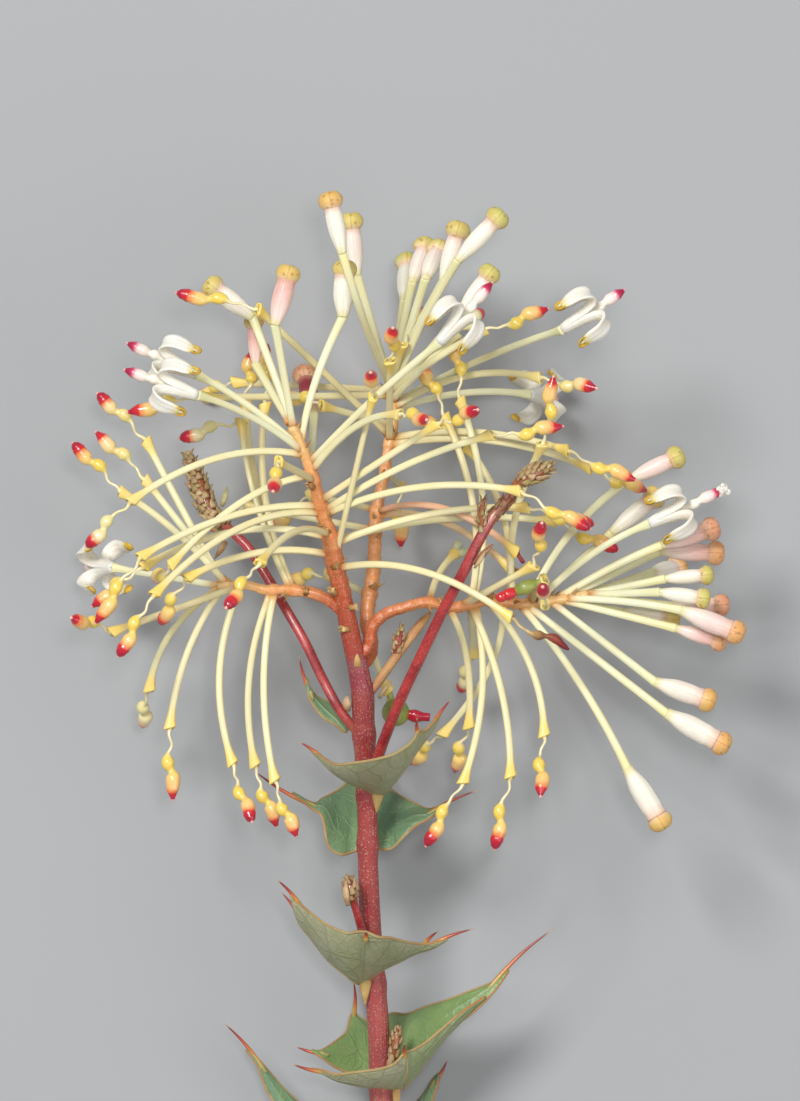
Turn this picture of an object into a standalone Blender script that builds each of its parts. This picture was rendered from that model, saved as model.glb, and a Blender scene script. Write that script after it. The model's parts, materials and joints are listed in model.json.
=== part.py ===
# Grevillea flower head: one cut flowering stem of a stem-clasping, holly-leaved grevillea.
# It lies on the tips of two flowers and on the lowest leaf. The surface is z = 0, the stem runs
# along +Y and the flowers open upwards. All design values below are in millimetres.
import math

import bmesh
import bpy
import numpy as np
from mathutils import Matrix, Vector

# Driving dimensions, in millimetres
STEM_SLOPE = 0.22          # the stem sinks this much per millimetre towards its cut end
STEM_HEIGHT = 20.0         # height of the stem's axis where the slope starts
SLOPE_START = 1.0
STALK_RADIUS = 0.38
TORUS_RADIUS = 0.68
PISTIL_LENGTH = 7.3        # from the torus to the tip of a spent flower
BUD_LENGTH = 5.3           # from the torus to the centre of a bud's round end
OPEN_LENGTH = 8.0
BUD_BALL_RADIUS = 1.2
BERRY_RADIUS = 1.4
TEPAL_WIDTH = 0.9
TEPAL_THICKNESS = 0.6
LEAF_THICKNESS = 0.6
LEAF_BULGE = 0.5
LEAF_BULGE_SHARE = 0.08     # a narrow place bulges less, by this share of its width
SPINE_RADIUS = 0.3
SPINE_TIP_RADIUS = 0.1
CLEARANCE = 0.25           # flowers of different racemes keep this much apart
SURFACE_CLEARANCE = 0.9    # only the three resting spots are nearer to the surface than this
ORIGIN_SHIFT = (-0.9, -0.81, 0.0)
FLAT_ANGLE = 1.5           # neighbouring faces closer to flat than this, in degrees, become one
MM = 0.001

# Sides of the round shapes
STEM_SIDES = 8
SHOOT_SIDES = 6
FLOWER_SIDES = 5
ROOT_DEPTH = 0.55          # a stalk starts this share of the rachis's radius out from its centre
END_INSET = 0.6            # the last flowers are rooted this far inside the rachis's end

# Material slots of a raceme, by the parts of a flower
IVORY, YELLOW, PEACH, RED, WHITE, PINK, GOLD, GREEN, ORANGE, BROWN = range(10)
RACEME_FINISHES = (
    ("stalk_ivory", (0.86, 0.80, 0.62), 0.45),
    ("ovary_yellow", (0.92, 0.68, 0.10), 0.35),
    ("style_peach", (0.90, 0.52, 0.28), 0.35),
    ("presenter_red", (0.62, 0.04, 0.06), 0.25),
    ("tepal_white", (0.90, 0.88, 0.82), 0.45),
    ("bud_pink", (0.84, 0.42, 0.46), 0.45),
    ("bud_gold", (0.66, 0.46, 0.14), 0.5),
    ("fruit_green", (0.45, 0.52, 0.18), 0.45),
    ("rachis_orange", (0.78, 0.34, 0.12), 0.45),
    ("withered_brown", (0.26, 0.15, 0.07), 0.6),
)
STEM_FINISHES = (
    ("stem_crimson", (0.42, 0.07, 0.06), 0.4),
    ("shoot_red", (0.40, 0.02, 0.03), 0.25),
    ("shoot_tan", (0.60, 0.42, 0.22), 0.5),
    ("scale_brown", (0.36, 0.20, 0.12), 0.6),
)
LEAF_FINISHES = (
    ("leaf_green", (0.22, 0.30, 0.20), 0.4),
    ("spine_orange", (0.66, 0.22, 0.06), 0.4),
)

# Stem, from the cut end to the top: x, y and radius
STEM_LINE = (
    (-1.5, -49.0, 1.2), (-1.9, -39.9, 1.15), (-2.1, -34.0, 1.1), (-2.8, -25.0, 1.05),
    (-3.1, -20.0, 1.05), (-3.2, -16.5, 1.0), (-3.3, -10.0, 1.0), (-3.7, -2.2, 0.95), (-3.8, 0.6, 0.95),
)
TRUNK_TOP = (
    (-4.2, 2.2, 20.2, 0.95), (-4.8, 5.0, 20.8, 0.9), (-5.3, 8.0, 21.4, 0.9), (-5.75, 10.55, 21.95, 0.9),
)

# Side shoots of the stem: x, y, z and radius along each
RIGHT_SHOOT = (
    (-3.0, -8.5, 18.5, 0.5), (-2.0, -5.1, 20.5, 0.55), (0.1, 0.2, 22.5, 0.55), (2.4, 5.1, 24.5, 0.55),
    (4.3, 9.0, 25.6, 0.55), (6.3, 12.8, 26.7, 0.55), (8.2, 16.6, 27.0, 0.55), (9.1, 18.1, 27.0, 0.55),
    (11.0, 20.4, 27.0, 0.5), (12.0, 21.8, 27.8, 0.55), (13.3, 22.6, 28.2, 0.8), (14.9, 23.3, 28.5, 0.3),
)
RIGHT_SHOOTLET = ((8.3, 16.6, 27.0, 0.35), (8.1, 18.4, 27.6, 0.35), (8.3, 20.2, 28.2, 0.15))
LEFT_SHOOT = (
    (-4.0, -3.6, 19.2, 0.45), (-5.9, -1.2, 19.3, 0.5), (-7.6, 1.8, 18.7, 0.5), (-9.6, 5.9, 18.0, 0.5),
    (-11.7, 9.5, 17.0, 0.5), (-13.6, 12.7, 16.0, 0.5), (-15.4, 15.4, 15.0, 0.5), (-17.4, 17.3, 14.5, 0.5),
    (-18.9, 18.6, 14.2, 0.7), (-20.2, 21.3, 14.0, 0.8), (-21.3, 24.5, 14.0, 0.25),
)
TAN_SHOOT = (
    (-3.5, 0.0, 20.0, 0.4), (-2.2, 1.8, 19.6, 0.45), (0.4, 5.4, 18.9, 0.45), (2.4, 8.0, 18.3, 0.4),
    (3.1, 8.8, 18.0, 0.2),
)
TAN_SIDE_BUD = ((-0.4, 4.4, 19.1, 0.3), (-0.2, 5.9, 19.4, 0.45), (0.2, 7.3, 19.5, 0.12))
UPPER_AXILLARY = (
    (-3.0, -27.0, 13.8, 0.4), (-3.4, -25.0, 15.2, 0.45), (-3.9, -22.8, 17.0, 0.45), (-4.7, -20.0, 18.2, 0.45),
    (-4.9, -19.0, 18.5, 0.65), (-5.1, -17.9, 18.6, 0.2),
)
LOWER_AXILLARY = (
    (-1.9, -38.8, 11.4, 0.3), (-0.8, -36.5, 13.0, 0.35), (-0.4, -34.2, 13.6, 0.45), (-0.2, -33.0, 13.8, 0.15),
)

# Stalks of the four racemes: x, y, z and radius
FRONT_RACHIS = (
    (-5.85, 10.85, 22.1, 0.9), (-6.6, 14.0, 23.0, 0.85), (-6.9, 16.0, 23.8, 0.8), (-7.5, 18.0, 24.3, 0.65),
    (-8.1, 20.0, 25.0, 0.6), (-8.5, 21.5, 25.4, 0.6), (-9.1, 23.5, 25.9, 0.5), (-9.7, 25.0, 26.2, 0.45),
    (-10.3, 26.5, 26.5, 0.45), (-10.9, 27.5, 26.8, 0.4),
)
BACK_RACHIS = (
    (-3.3, 4.2, 19.2, 0.75), (-3.3, 9.0, 18.0, 0.75), (-2.7, 12.8, 17.0, 0.7), (-2.5, 16.6, 16.3, 0.65),
    (-2.2, 20.0, 16.0, 0.6), (-1.6, 22.4, 15.6, 0.55), (-1.2, 25.2, 15.2, 0.5), (-0.8, 27.1, 14.8, 0.5),
    (-0.8, 29.5, 14.4, 0.45), (-1.0, 32.0, 14.0, 0.4),
)
RIGHT_RACHIS = (
    (-3.1, 5.5, 20.6, 0.6), (-2.7, 7.4, 20.8, 0.6), (-1.8, 8.4, 21.0, 0.6), (0.5, 9.3, 21.5, 0.55),
    (2.5, 9.8, 21.4, 0.55), (5.3, 9.3, 21.1, 0.5), (7.2, 9.6, 20.9, 0.5), (9.1, 10.1, 20.7, 0.5),
    (12.0, 9.6, 20.5, 0.45), (14.5, 9.9, 20.3, 0.45), (17.0, 10.2, 20.2, 0.4), (19.0, 10.6, 20.0, 0.4),
)
LEFT_RACHIS = (
    (-7.35, 10.1, 21.5, 0.6), (-8.5, 10.6, 21.4, 0.6), (-10.0, 10.9, 21.0, 0.55), (-11.5, 11.0, 20.5, 0.5),
    (-13.5, 11.0, 20.4, 0.5), (-15.0, 11.4, 20.2, 0.45), (-16.5, 11.5, 20.1, 0.45), (-18.4, 11.3, 20.0, 0.4),
)

# Flowers: stage, root beside the rachis (x, y), torus (x, y, z), tip or ball centre (x, y),
# lean of the tip (1 up, -1 down, 0 level) and sag of the stalk's middle (x, y).
FRONT_FLOWERS = (
    ("white bud", (-9.8, 26.6), (-14.7, 38.2, 23.0), (-18.7, 41.3), 0, (0.0, 0.0)),
    ("pink bud", (-11.3, 27.3), (-12.4, 37.3, 31.0), (-11.1, 42.4), 0, (0.0, 0.0)),
    ("pink bud", (-11.7, 27.0), (-14.4, 33.5, 20.5), (-14.6, 37.8), 0, (0.0, 0.0)),
    ("full bud", (-9.6, 25.6), (-5.7, 38.2, 26.5), (-5.5, 42.95), 0, (-0.6, 0.0)),
    ("pink bud", (-8.4, 23.0), (-8.6, 28.6, 17.0), (-9.6, 32.6), -1, (0.0, 0.0)),
    ("open", (-10.0, 24.7), (-20.2, 32.4, 30.0), (-27.2, 35.6), 0, (0.0, 0.6)),
    ("open", (-10.0, 24.6), (-20.0, 30.3, 34.0), (-27.4, 32.9), 0, (0.0, 0.7)),
    ("spent", (-10.1, 24.2), (-26.7, 19.8, 32.0), (-31.2, 15.2), 0, (0.0, 2.0)),
    ("spent", (-8.7, 22.0), (-12.0, 23.7, 37.0), (-12.5, 20.7), 1, (0.0, 0.0)),
    ("spent", (-9.2, 22.3), (-22.8, 13.4, 29.5), (-24.5, 12.0), -1, (0.0, 1.8)),
    ("spent", (-8.2, 19.3), (-25.7, 14.3, 31.0), (-30.3, 7.6), 0, (0.0, 1.5)),
    ("spent", (-7.5, 16.0), (-25.5, 13.3, 28.5), (-30.7, 9.3), 0, (0.0, 2.1)),
    ("spent", (-7.6, 14.3), (-21.2, 12.2, 27.0), (-24.0, 7.5), -1, (0.0, 1.4)),
    ("spent", (-8.4, 18.4), (-24.3, 10.6, 33.0), (-28.0, 4.3), 0, (0.0, 2.5)),
    ("spent", (-7.2, 16.4), (-13.8, 13.7, 39.0), (-17.2, 9.2), 1, (0.0, 1.7)),
    ("open", (-8.9, 23.6), (3.8, 35.5, 33.0), (9.2, 41.6), 0, (-0.2, 0.3)),
    ("spent", (-5.8, 14.0), (-2.7, 30.2, 31.5), (-2.9, 32.6), 1, (0.0, 0.0)),
    ("spent", (-8.0, 23.0), (-0.1, 28.4, 35.5), (2.7, 27.8), 1, (0.0, 1.6)),
    ("spent", (-7.5, 20.0), (3.7, 27.5, 31.0), (7.8, 28.9), 1, (0.0, 0.0)),
    ("spent", (-7.2, 18.9), (9.1, 26.4, 31.0), (16.3, 27.3), 0, (0.0, 0.9)),
    ("spent", (-7.2, 18.6), (11.9, 20.8, 33.0), (19.0, 17.0), 0, (0.0, 1.6)),
    ("spent", (-6.0, 15.6), (12.7, 19.2, 23.5), (19.5, 17.5), -1, (0.0, 1.2)),
    ("spent", (-5.8, 16.0), (15.3, 17.9, 17.0), (22.0, 14.9), -1, (0.0, 1.2)),
    ("withered", (-5.7, 13.3), (11.0, 8.3, 30.0), (16.8, 5.1), 0, (0.0, 2.1)),
)
BACK_FLOWERS = (
    ("spent", (-1.5, 31.0), (-16.7, 31.9, 5.7), (-20.5, 30.5), -1, (0.0, 0.0)),
    ("open", (-0.7, 29.0), (13.0, 30.7, 7.1), (16.0, 30.2), -1, (0.0, 0.9)),
    ("spent", (-1.5, 26.5), (-14.1, 38.9, 28.6), (-22.4, 40.6), 0, (0.0, 0.0)),
    ("spent", (-1.4, 30.5), (-19.5, 30.2, 24.0), (-27.3, 28.7), 0, (0.0, 0.0)),
    ("spent", (-2.0, 27.5), (-7.8, 29.4, 22.0), (-11.5, 30.6), -1, (0.0, 0.0)),
    ("white bud", (-1.0, 32.0), (-5.7, 44.4, 30.0), (-6.9, 49.7), 0, (-0.3, 0.0)),
    ("white bud", (-0.9, 31.8), (-4.3, 42.5, 17.0), (-4.9, 47.9), 0, (0.0, 0.0)),
    ("white bud", (-1.1, 30.0), (5.7, 43.8, 24.0), (9.7, 48.1), 0, (-0.6, 0.0)),
    ("white bud", (-1.1, 30.2), (4.3, 41.8, 20.0), (5.8, 47.0), 0, (-0.5, 0.0)),
    ("white bud", (-1.0, 31.5), (1.2, 41.7, 18.0), (2.5, 45.4), -1, (0.0, 0.0)),
    ("pink bud", (-1.0, 31.2), (2.5, 42.0, 20.0), (3.8, 45.1), -1, (0.0, 0.0)),
    ("white bud", (-1.0, 31.7), (0.4, 40.0, 15.0), (0.7, 43.9), -1, (0.0, 0.0)),
    ("white bud", (-1.0, 30.5), (6.0, 38.5, 27.0), (8.9, 42.5), 0, (0.0, 0.0)),
    ("spent", (-1.0, 30.0), (5.5, 36.5, 22.0), (8.3, 39.0), -1, (0.0, 0.0)),
    ("spent", (-0.9, 31.0), (0.2, 35.5, 19.0), (2.2, 39.4), -1, (0.0, 0.0)),
    ("spent", (-1.4, 26.0), (-1.0, 33.8, 26.0), (-0.7, 37.1), 1, (0.0, 0.0)),
    ("open", (-0.9, 29.6), (16.1, 36.9, 29.0), (22.4, 40.9), 0, (0.0, 0.6)),
    ("spent", (-0.7, 29.2), (14.0, 32.2, 21.0), (19.7, 31.1), 1, (0.0, 1.7)),
    ("spent", (-1.0, 30.8), (8.3, 36.9, 24.0), (14.9, 39.1), 0, (0.0, 0.3)),
    ("spent", (-0.9, 26.2), (16.7, 24.9, 24.0), (23.6, 21.9), 0, (0.0, 1.2)),
    ("spent", (-0.8, 25.4), (19.0, 23.2, 20.0), (24.8, 20.9), -1, (0.0, 1.6)),
    ("bare torus", (-1.8, 18.8), (11.6, 14.8, 21.0), (13.1, 12.6), 0, (0.0, 2.2)),
    ("bare torus", (-1.9, 18.4), (11.2, 13.0, 20.0), (12.2, 12.4), 0, (0.0, 2.0)),
    ("spent", (-1.4, 23.0), (0.0, 21.5, 6.5), (0.1, 15.2), 0, (0.0, 0.0)),
    ("spent", (-3.0, 10.5), (-7.2, 12.5, 8.0), (-11.5, 12.0), -1, (0.0, 0.0)),
    ("spent", (-2.3, 19.0), (-9.0, 20.5, 9.0), (-13.0, 17.2), -1, (0.0, 0.0)),
    ("spent", (-2.5, 17.0), (-15.3, 19.4, 11.0), (-19.5, 17.0), -1, (0.0, 0.0)),
    ("berry", (-2.9, 7.5), (-1.2, 0.9, 13.0), (-0.4, -1.3), 0, (-0.3, 0.0)),
)
LEFT_FLOWERS = (
    ("spent", (-17.6, 11.7), (-25.4, 25.9, 17.0), (-30.4, 30.8), 0, (-0.2, 0.2)),
    ("spent", (-17.4, 11.7), (-25.5, 22.0, 19.5), (-30.5, 26.9), 0, (-0.1, 0.3)),
    ("spent", (-17.2, 11.6), (-27.9, 20.8, 21.5), (-32.8, 25.8), 0, (0.0, 0.8)),
    ("open", (-18.4, 11.3), (-28.7, 13.2, 14.5), (-31.8, 13.3), -1, (0.0, 0.0)),
    ("spent", (-16.0, 10.6), (-28.8, 6.8, 22.0), (-32.8, 8.3), 1, (0.0, 0.0)),
    ("spent", (-18.4, 11.0), (-25.1, 1.0, 17.0), (-25.9, -2.9), -1, (-1.4, 0.6)),
    ("spent", (-17.5, 10.5), (-23.0, -2.7, 21.0), (-22.7, -10.1), 0, (-0.9, 0.5)),
    ("spent", (-16.0, 10.6), (-16.7, -6.3, 22.5), (-14.7, -12.2), 1, (-1.7, 0.0)),
    ("spent", (-12.8, 10.4), (-14.5, -6.5, 19.5), (-12.3, -12.8), 0, (-1.4, 0.0)),
    ("spent", (-12.5, 10.3), (-12.5, -8.0, 23.0), (-10.3, -13.7), 0, (-1.1, 0.0)),
    ("spent", (-10.8, 11.6), (-15.9, 27.9, 18.0), (-22.2, 26.1), 0, (-0.9, 0.0)),
    ("spent", (-10.6, 11.6), (-13.5, 29.6, 16.0), (-13.6, 36.0), 0, (-1.4, 0.0)),
    ("spent", (-10.6, 11.6), (-15.5, 29.8, 13.0), (-15.0, 35.0), 0, (-1.0, 0.0)),
)
RIGHT_FLOWERS = (
    ("white bud", (12.8, 10.2), (23.1, 22.1, 14.0), (27.7, 24.3), 0, (-0.8, 0.9)),
    ("white bud", (13.5, 10.0), (21.2, 16.7, 15.0), (25.5, 20.3), 0, (0.0, 0.0)),
    ("open", (13.6, 10.2), (24.8, 17.6, 23.0), (32.4, 21.1), 0, (0.0, 0.9)),
    ("pink bud", (15.5, 10.1), (26.1, 15.5, 20.0), (31.1, 17.1), 0, (0.0, 0.3)),
    ("pink bud", (16.5, 10.2), (26.0, 14.9, 17.5), (31.6, 14.7), 0, (0.0, 0.0)),
    ("white bud", (18.5, 10.6), (26.4, 12.1, 22.0), (30.6, 12.5), 0, (0.0, 0.0)),
    ("white bud", (17.8, 10.4), (25.2, 12.7, 15.0), (27.8, 13.2), -1, (0.0, 0.0)),
    ("white bud", (18.8, 10.5), (25.8, 10.8, 24.0), (30.2, 10.2), 0, (0.0, 0.0)),
    ("pink bud", (18.5, 10.4), (27.2, 9.4, 20.0), (32.1, 9.5), 0, (0.0, 0.0)),
    ("pink bud", (16.5, 10.0), (28.0, 9.0, 24.0), (33.5, 6.8), 0, (0.0, 0.3)),
    ("pink bud", (16.0, 9.8), (27.5, 7.2, 21.0), (31.9, 5.9), 0, (0.0, 0.0)),
    ("white bud", (16.5, 9.9), (22.2, 8.8, 18.0), (27.2, 8.1), 0, (0.0, 0.0)),
    ("white bud", (15.0, 9.8), (25.5, 1.8, 20.0), (30.7, 0.0), 0, (0.0, 0.0)),
    ("pink bud", (12.5, 9.7), (26.6, -1.3, 23.0), (32.1, -4.3), 0, (0.0, 0.0)),
    ("pink bud", (12.0, 9.7), (22.7, -6.8, 22.0), (26.0, -12.1), 0, (0.6, 0.3)),
    ("spent", (11.5, 9.9), (14.2, 25.5, 25.0), (15.3, 32.4), 1, (-1.4, 0.0)),
    ("spent", (6.0, 10.2), (13.3, 13.4, 25.0), (14.1, 17.8), 1, (0.0, 0.0)),
    ("spent", (14.0, 9.9), (14.4, 9.6, 30.0), (14.1, 11.4), 1, (0.0, 0.0)),
    ("green fruit", (13.0, 9.9), (14.4, 12.0, 23.5), (9.6, 10.1), 0, (0.0, 0.0)),
    ("spent", (7.2, 10.0), (6.0, 30.0, 20.0), (5.5, 36.5), 0, (1.6, 0.0)),
    ("spent", (7.0, 9.8), (4.5, 28.3, 18.5), (2.0, 34.0), 0, (1.6, 0.0)),
    ("spent", (11.0, 10.0), (6.6, 25.4, 15.0), (2.0, 28.5), 0, (1.5, 1.0)),
    ("spent", (4.8, 9.2), (6.9, -2.7, 17.0), (5.5, -7.4), -1, (0.8, 0.8)),
    ("spent", (10.3, 10.0), (4.3, -3.5, 15.0), (1.0, -6.6), -1, (1.8, 0.3)),
    ("spent", (7.5, 9.6), (6.3, -8.2, 22.0), (2.5, -14.7), 0, (1.3, 0.0)),
    ("spent", (7.0, 9.4), (11.0, -7.6, 24.0), (9.4, -15.0), 0, (1.1, 0.0)),
    ("spent", (8.7, 10.0), (14.4, -3.5, 21.0), (14.0, -9.7), 1, (1.4, 0.3)),
    ("spent", (7.0, 9.4), (7.5, 4.5, 12.5), (6.1, 0.7), -1, (0.0, 0.0)),
    ("bare torus", (3.0, 9.9), (5.6, 14.7, 14.0), (6.5, 15.5), 0, (-0.4, 0.3)),
)

# Leaves: pairs of points on the lower and the upper margin, from the left tip to the right tip
LEAF_A = (
    ((-8.2, -5.7, 22.4), (-8.0, -5.5, 23.0)), ((-6.7, -7.2, 22.0), (-6.4, -6.35, 25.4)),
    ((-5.0, -8.3, 20.9), (-4.7, -6.2, 27.0)), ((-3.5, -8.9, 19.5), (-3.3, -6.0, 27.8)),
    ((-1.9, -9.5, 18.7), (-1.9, -5.7, 28.2)), ((-0.8, -8.5, 20.0), (-0.6, -5.3, 28.0)),
    ((0.2, -7.2, 21.8), (0.7, -4.5, 27.3)), ((1.2, -5.7, 22.8), (1.4, -3.8, 26.8)),
    ((1.9, -4.8, 23.2), (1.8, -3.0, 26.9)), ((2.4, -4.1, 23.4), (2.4, -3.0, 26.2)),
    ((3.5, -2.6, 23.8), (3.3, -2.2, 25.2)),
)
LEAF_A_SPINES = (
    ((-7.9, -5.7, 22.7), (-10.0, -4.2, 22.0)), ((3.2, -2.6, 24.5), (5.1, 0.1, 24.0)),
    ((1.8, -3.4, 26.4), (1.7, -1.7, 28.0)),
)
LEAF_B = (
    ((-8.9, -10.9, 15.5), (-8.7, -10.4, 14.6)), ((-7.8, -11.8, 15.8), (-7.7, -9.9, 12.8)),
    ((-7.2, -14.6, 16.0), (-6.6, -9.4, 11.0)), ((-6.0, -15.5, 15.6), (-5.5, -8.6, 9.0)),
    ((-4.8, -15.3, 14.8), (-4.6, -7.6, 7.0)), ((-3.2, -14.7, 14.95), (-3.2, -6.6, 5.6)),
    ((-2.0, -15.0, 15.1), (-1.9, -7.8, 7.0)), ((-0.8, -14.9, 15.2), (-0.8, -9.2, 9.4)),
    ((0.2, -13.9, 15.8), (0.3, -9.9, 11.4)), ((1.5, -12.7, 15.8), (1.6, -10.5, 13.4)),
    ((2.8, -12.0, 15.6), (2.9, -11.0, 14.8)),
)
LEAF_B_SPINES = (
    ((-8.6, -10.7, 15.1), (-14.8, -7.0, 15.5)), ((2.7, -11.6, 15.2), (7.8, -9.1, 15.4)),
    ((-3.2, -7.4, 6.6), (-3.2, -4.9, 4.0)),
)
LEAF_C = (
    ((-10.2, -22.2, 17.0), (-10.3, -20.2, 18.2)), ((-8.7, -24.2, 17.2), (-8.8, -21.4, 20.0)),
    ((-7.2, -26.1, 16.9), (-7.2, -22.5, 21.5)), ((-5.6, -27.5, 16.6), (-5.4, -23.2, 22.8)),
    ((-4.6, -28.3, 15.6), (-4.4, -23.1, 23.6)), ((-3.95, -28.5, 14.6), (-3.4, -23.1, 24.0)),
    ((-2.9, -27.9, 15.45), (-2.2, -23.6, 23.8)), ((-1.6, -27.0, 16.1), (-1.0, -23.7, 23.0)),
    ((0.0, -26.2, 17.4), (0.4, -24.1, 21.5)), ((1.6, -25.4, 18.0), (1.9, -24.4, 19.8)),
    ((3.2, -24.9, 18.4), (3.3, -24.3, 19.0)),
)
LEAF_C_SPINES = (
    ((-10.0, -20.6, 18.0), (-12.3, -18.0, 18.6)), ((-9.9, -22.1, 17.2), (-11.9, -19.3, 16.2)),
    ((3.0, -24.6, 18.7), (7.4, -22.9, 19.0)), ((2.3, -24.6, 18.7), (3.8, -23.2, 17.5)),
    ((-3.4, -23.8, 23.6), (-3.2, -21.6, 25.6)),
)
LEAF_D_REAR = (
    ((-8.0, -36.0, 10.5), (-8.0, -35.4, 10.0)), ((-6.6, -37.0, 10.0), (-6.6, -34.6, 8.5)),
    ((-5.2, -37.6, 9.4), (-5.4, -33.6, 6.5)), ((-4.0, -37.6, 8.9), (-4.8, -31.9, 3.9)),
    ((-2.6, -37.6, 8.6), (-3.4, -32.6, 3.8)), ((-1.0, -38.0, 9.0), (-2.0, -32.4, 4.4)),
    ((0.4, -38.4, 10.6), (-0.8, -31.8, 5.7)), ((1.6, -37.0, 11.4), (0.7, -31.8, 7.5)),
    ((3.4, -35.2, 12.4), (2.6, -31.0, 9.5)), ((5.0, -33.2, 13.0), (4.7, -30.3, 11.2)),
    ((7.4, -31.4, 13.2), (7.2, -29.3, 12.2)), ((9.4, -29.4, 13.2), (9.4, -28.4, 12.7)),
)
LEAF_D_FRONT = (
    ((-8.0, -37.4, 14.1), (-7.8, -37.2, 14.8)), ((-6.5, -38.2, 14.0), (-6.4, -37.6, 15.4)),
    ((-5.0, -38.6, 13.9), (-4.9, -37.4, 16.2)), ((-3.4, -38.9, 13.7), (-3.4, -37.2, 16.8)),
    ((-2.0, -38.95, 13.6), (-2.0, -37.0, 17.0)), ((-0.6, -39.1, 12.6), (-0.6, -36.5, 16.8)),
    ((0.4, -39.0, 12.6), (0.5, -35.4, 16.2)), ((1.4, -38.0, 12.2), (1.2, -35.2, 15.4)),
    ((2.8, -36.2, 12.3), (2.6, -34.4, 14.9)), ((4.4, -34.2, 12.7), (4.4, -32.9, 14.6)),
    ((6.2, -32.3, 13.1), (6.2, -31.4, 14.1)),
)
LEAF_D_SPINES = (
    ((9.0, -29.0, 12.9), (15.5, -23.0, 13.0)), ((-4.7, -32.2, 4.2), (-4.7, -28.6, 1.3)),
    ((-7.8, -35.7, 10.2), (-10.5, -35.0, 10.0)), ((-7.6, -37.4, 14.5), (-10.8, -36.6, 14.5)),
    ((0.5, -35.9, 15.9), (0.5, -34.4, 17.4)),
)
LEAF_E = (
    ((-14.4, -37.0, 7.4), (-13.9, -36.8, 7.2)), ((-13.2, -39.9, 7.0), (-11.2, -39.9, 5.9)),
    ((-10.8, -43.2, 6.6), (-8.6, -41.8, 4.4)), ((-8.0, -45.6, 6.7), (-6.0, -42.8, 2.6)),
    ((-5.0, -46.8, 7.0), (-3.6, -42.4, 0.4)), ((-1.8, -47.2, 7.6), (-1.6, -42.2, -0.6)),
    ((0.6, -46.0, 7.2), (0.2, -41.9, 0.6)), ((2.2, -43.6, 7.0), (1.3, -41.2, 3.6)),
    ((3.1, -40.9, 7.1), (2.4, -39.9, 6.0)), ((3.8, -38.9, 7.5), (3.3, -38.4, 7.0)),
)
LEAF_E_SPINES = (((-13.9, -37.2, 7.3), (-17.8, -32.7, 7.0)), ((3.4, -38.8, 7.2), (4.8, -36.4, 7.5)))
LEAF_F = (
    ((-9.2, 0.6, 18.0), (-9.0, 1.2, 17.8)), ((-8.6, -0.6, 18.0), (-8.3, 0.3, 17.2)),
    ((-7.6, -1.8, 18.0), (-6.9, -0.4, 16.8)), ((-6.6, -2.4, 18.0), (-5.9, -0.9, 16.6)),
    ((-5.5, -3.2, 17.9), (-5.2, -1.9, 17.0)),
)
LEAF_F_SPINES = (((-8.9, 0.6, 17.9), (-10.1, 4.3, 16.6)),)

# Pistils and buds: share of the length, radius, sideways offset and the finish up to the next ring.
# The rings of a bud's round end are measured in millimetres from the ball's centre instead.
SPENT_RINGS = (
    (0.03, 0.28, 0.0, IVORY), (0.40, 0.30, 0.3, YELLOW), (0.51, 0.66, 0.25, YELLOW), (0.60, 0.46, 0.0, PEACH),
    (0.70, 0.76, -0.1, PEACH), (0.86, 0.60, 0.0, RED), (1.0, 0.12, 0.0, RED),
)
OPEN_RINGS = (
    (0.03, 0.30, 0.0, IVORY), (0.45, 0.34, 0.0, YELLOW), (0.55, 0.62, 0.1, WHITE), (0.63, 0.42, 0.0, PINK),
    (0.74, 0.72, 0.0, PINK), (0.86, 0.60, 0.0, RED), (1.0, 0.12, 0.0, RED),
)
WITHERED_RINGS = (
    (0.03, 0.24, 0.0, BROWN), (0.35, 0.22, 0.5, BROWN), (0.75, 0.26, -0.3, BROWN), (1.0, 0.12, 0.0, BROWN),
)
FRUIT_RINGS = (
    (0.05, 0.30, 0.0, IVORY), (0.16, 0.36, 0.0, GREEN), (0.375, 0.74, 0.0, GREEN), (0.585, 0.44, 0.0, RED),
    (0.74, 0.60, 0.0, RED), (0.93, 0.48, 0.0, RED), (1.0, 0.15, 0.0, RED),
)
BERRY_STYLE = ((0.9, -0.15, 0.42), (2.0, -0.35, 0.48), (3.4, -0.5, 0.2))  # x and y from the berry, radius
HEAD_RINGS = {
    "spent": SPENT_RINGS,
    "open": OPEN_RINGS,
    "withered": WITHERED_RINGS,
    "green fruit": FRUIT_RINGS,
    "bare torus": ((0.5, 0.4, 0.0, BROWN),),
}
BUD_TUBE_RINGS = ((0.08, 0.55), (0.45, 0.86))
BUD_BALL_RINGS = ((-1.1, 0.62), (-0.55, 0.94), (0.15, 1.04), (0.8, 0.76), (1.15, 0.25))
TEPAL_LINE = ((0.0, 0.3), (3.2, 0.9), (4.1, 1.8), (3.2, 2.7), (1.2, 2.9))
TEPAL_TURNS = (41, 133, 224, 317)
STALK_STEPS = (0.0, 0.5, 0.93)
CURVED_STALK_STEPS = (0.0, 0.33, 0.66, 0.93)
CURVED_SAG = 1.25          # a stalk that sags more than this has one ring more
SHARPEST_TURN = -0.35      # cosine of the turn at the torus past which head and stalk are two shapes
CROSS_STEPS = (0.0, 0.33, 0.67, 1.0)

# A stalk that would meet another raceme changes its depth by these steps, the least first
TORUS_STEP = 0.8
MIDDLE_STEP = 1.0
SAMPLE_SPACING = 0.6
SCALE_ROOM = 0.15          # room round a shoot for its bud scales


def clear_scene():
    """Start from an empty scene."""
    for leftover in list(bpy.data.objects):
        bpy.data.objects.remove(leftover, do_unlink=True)


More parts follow.
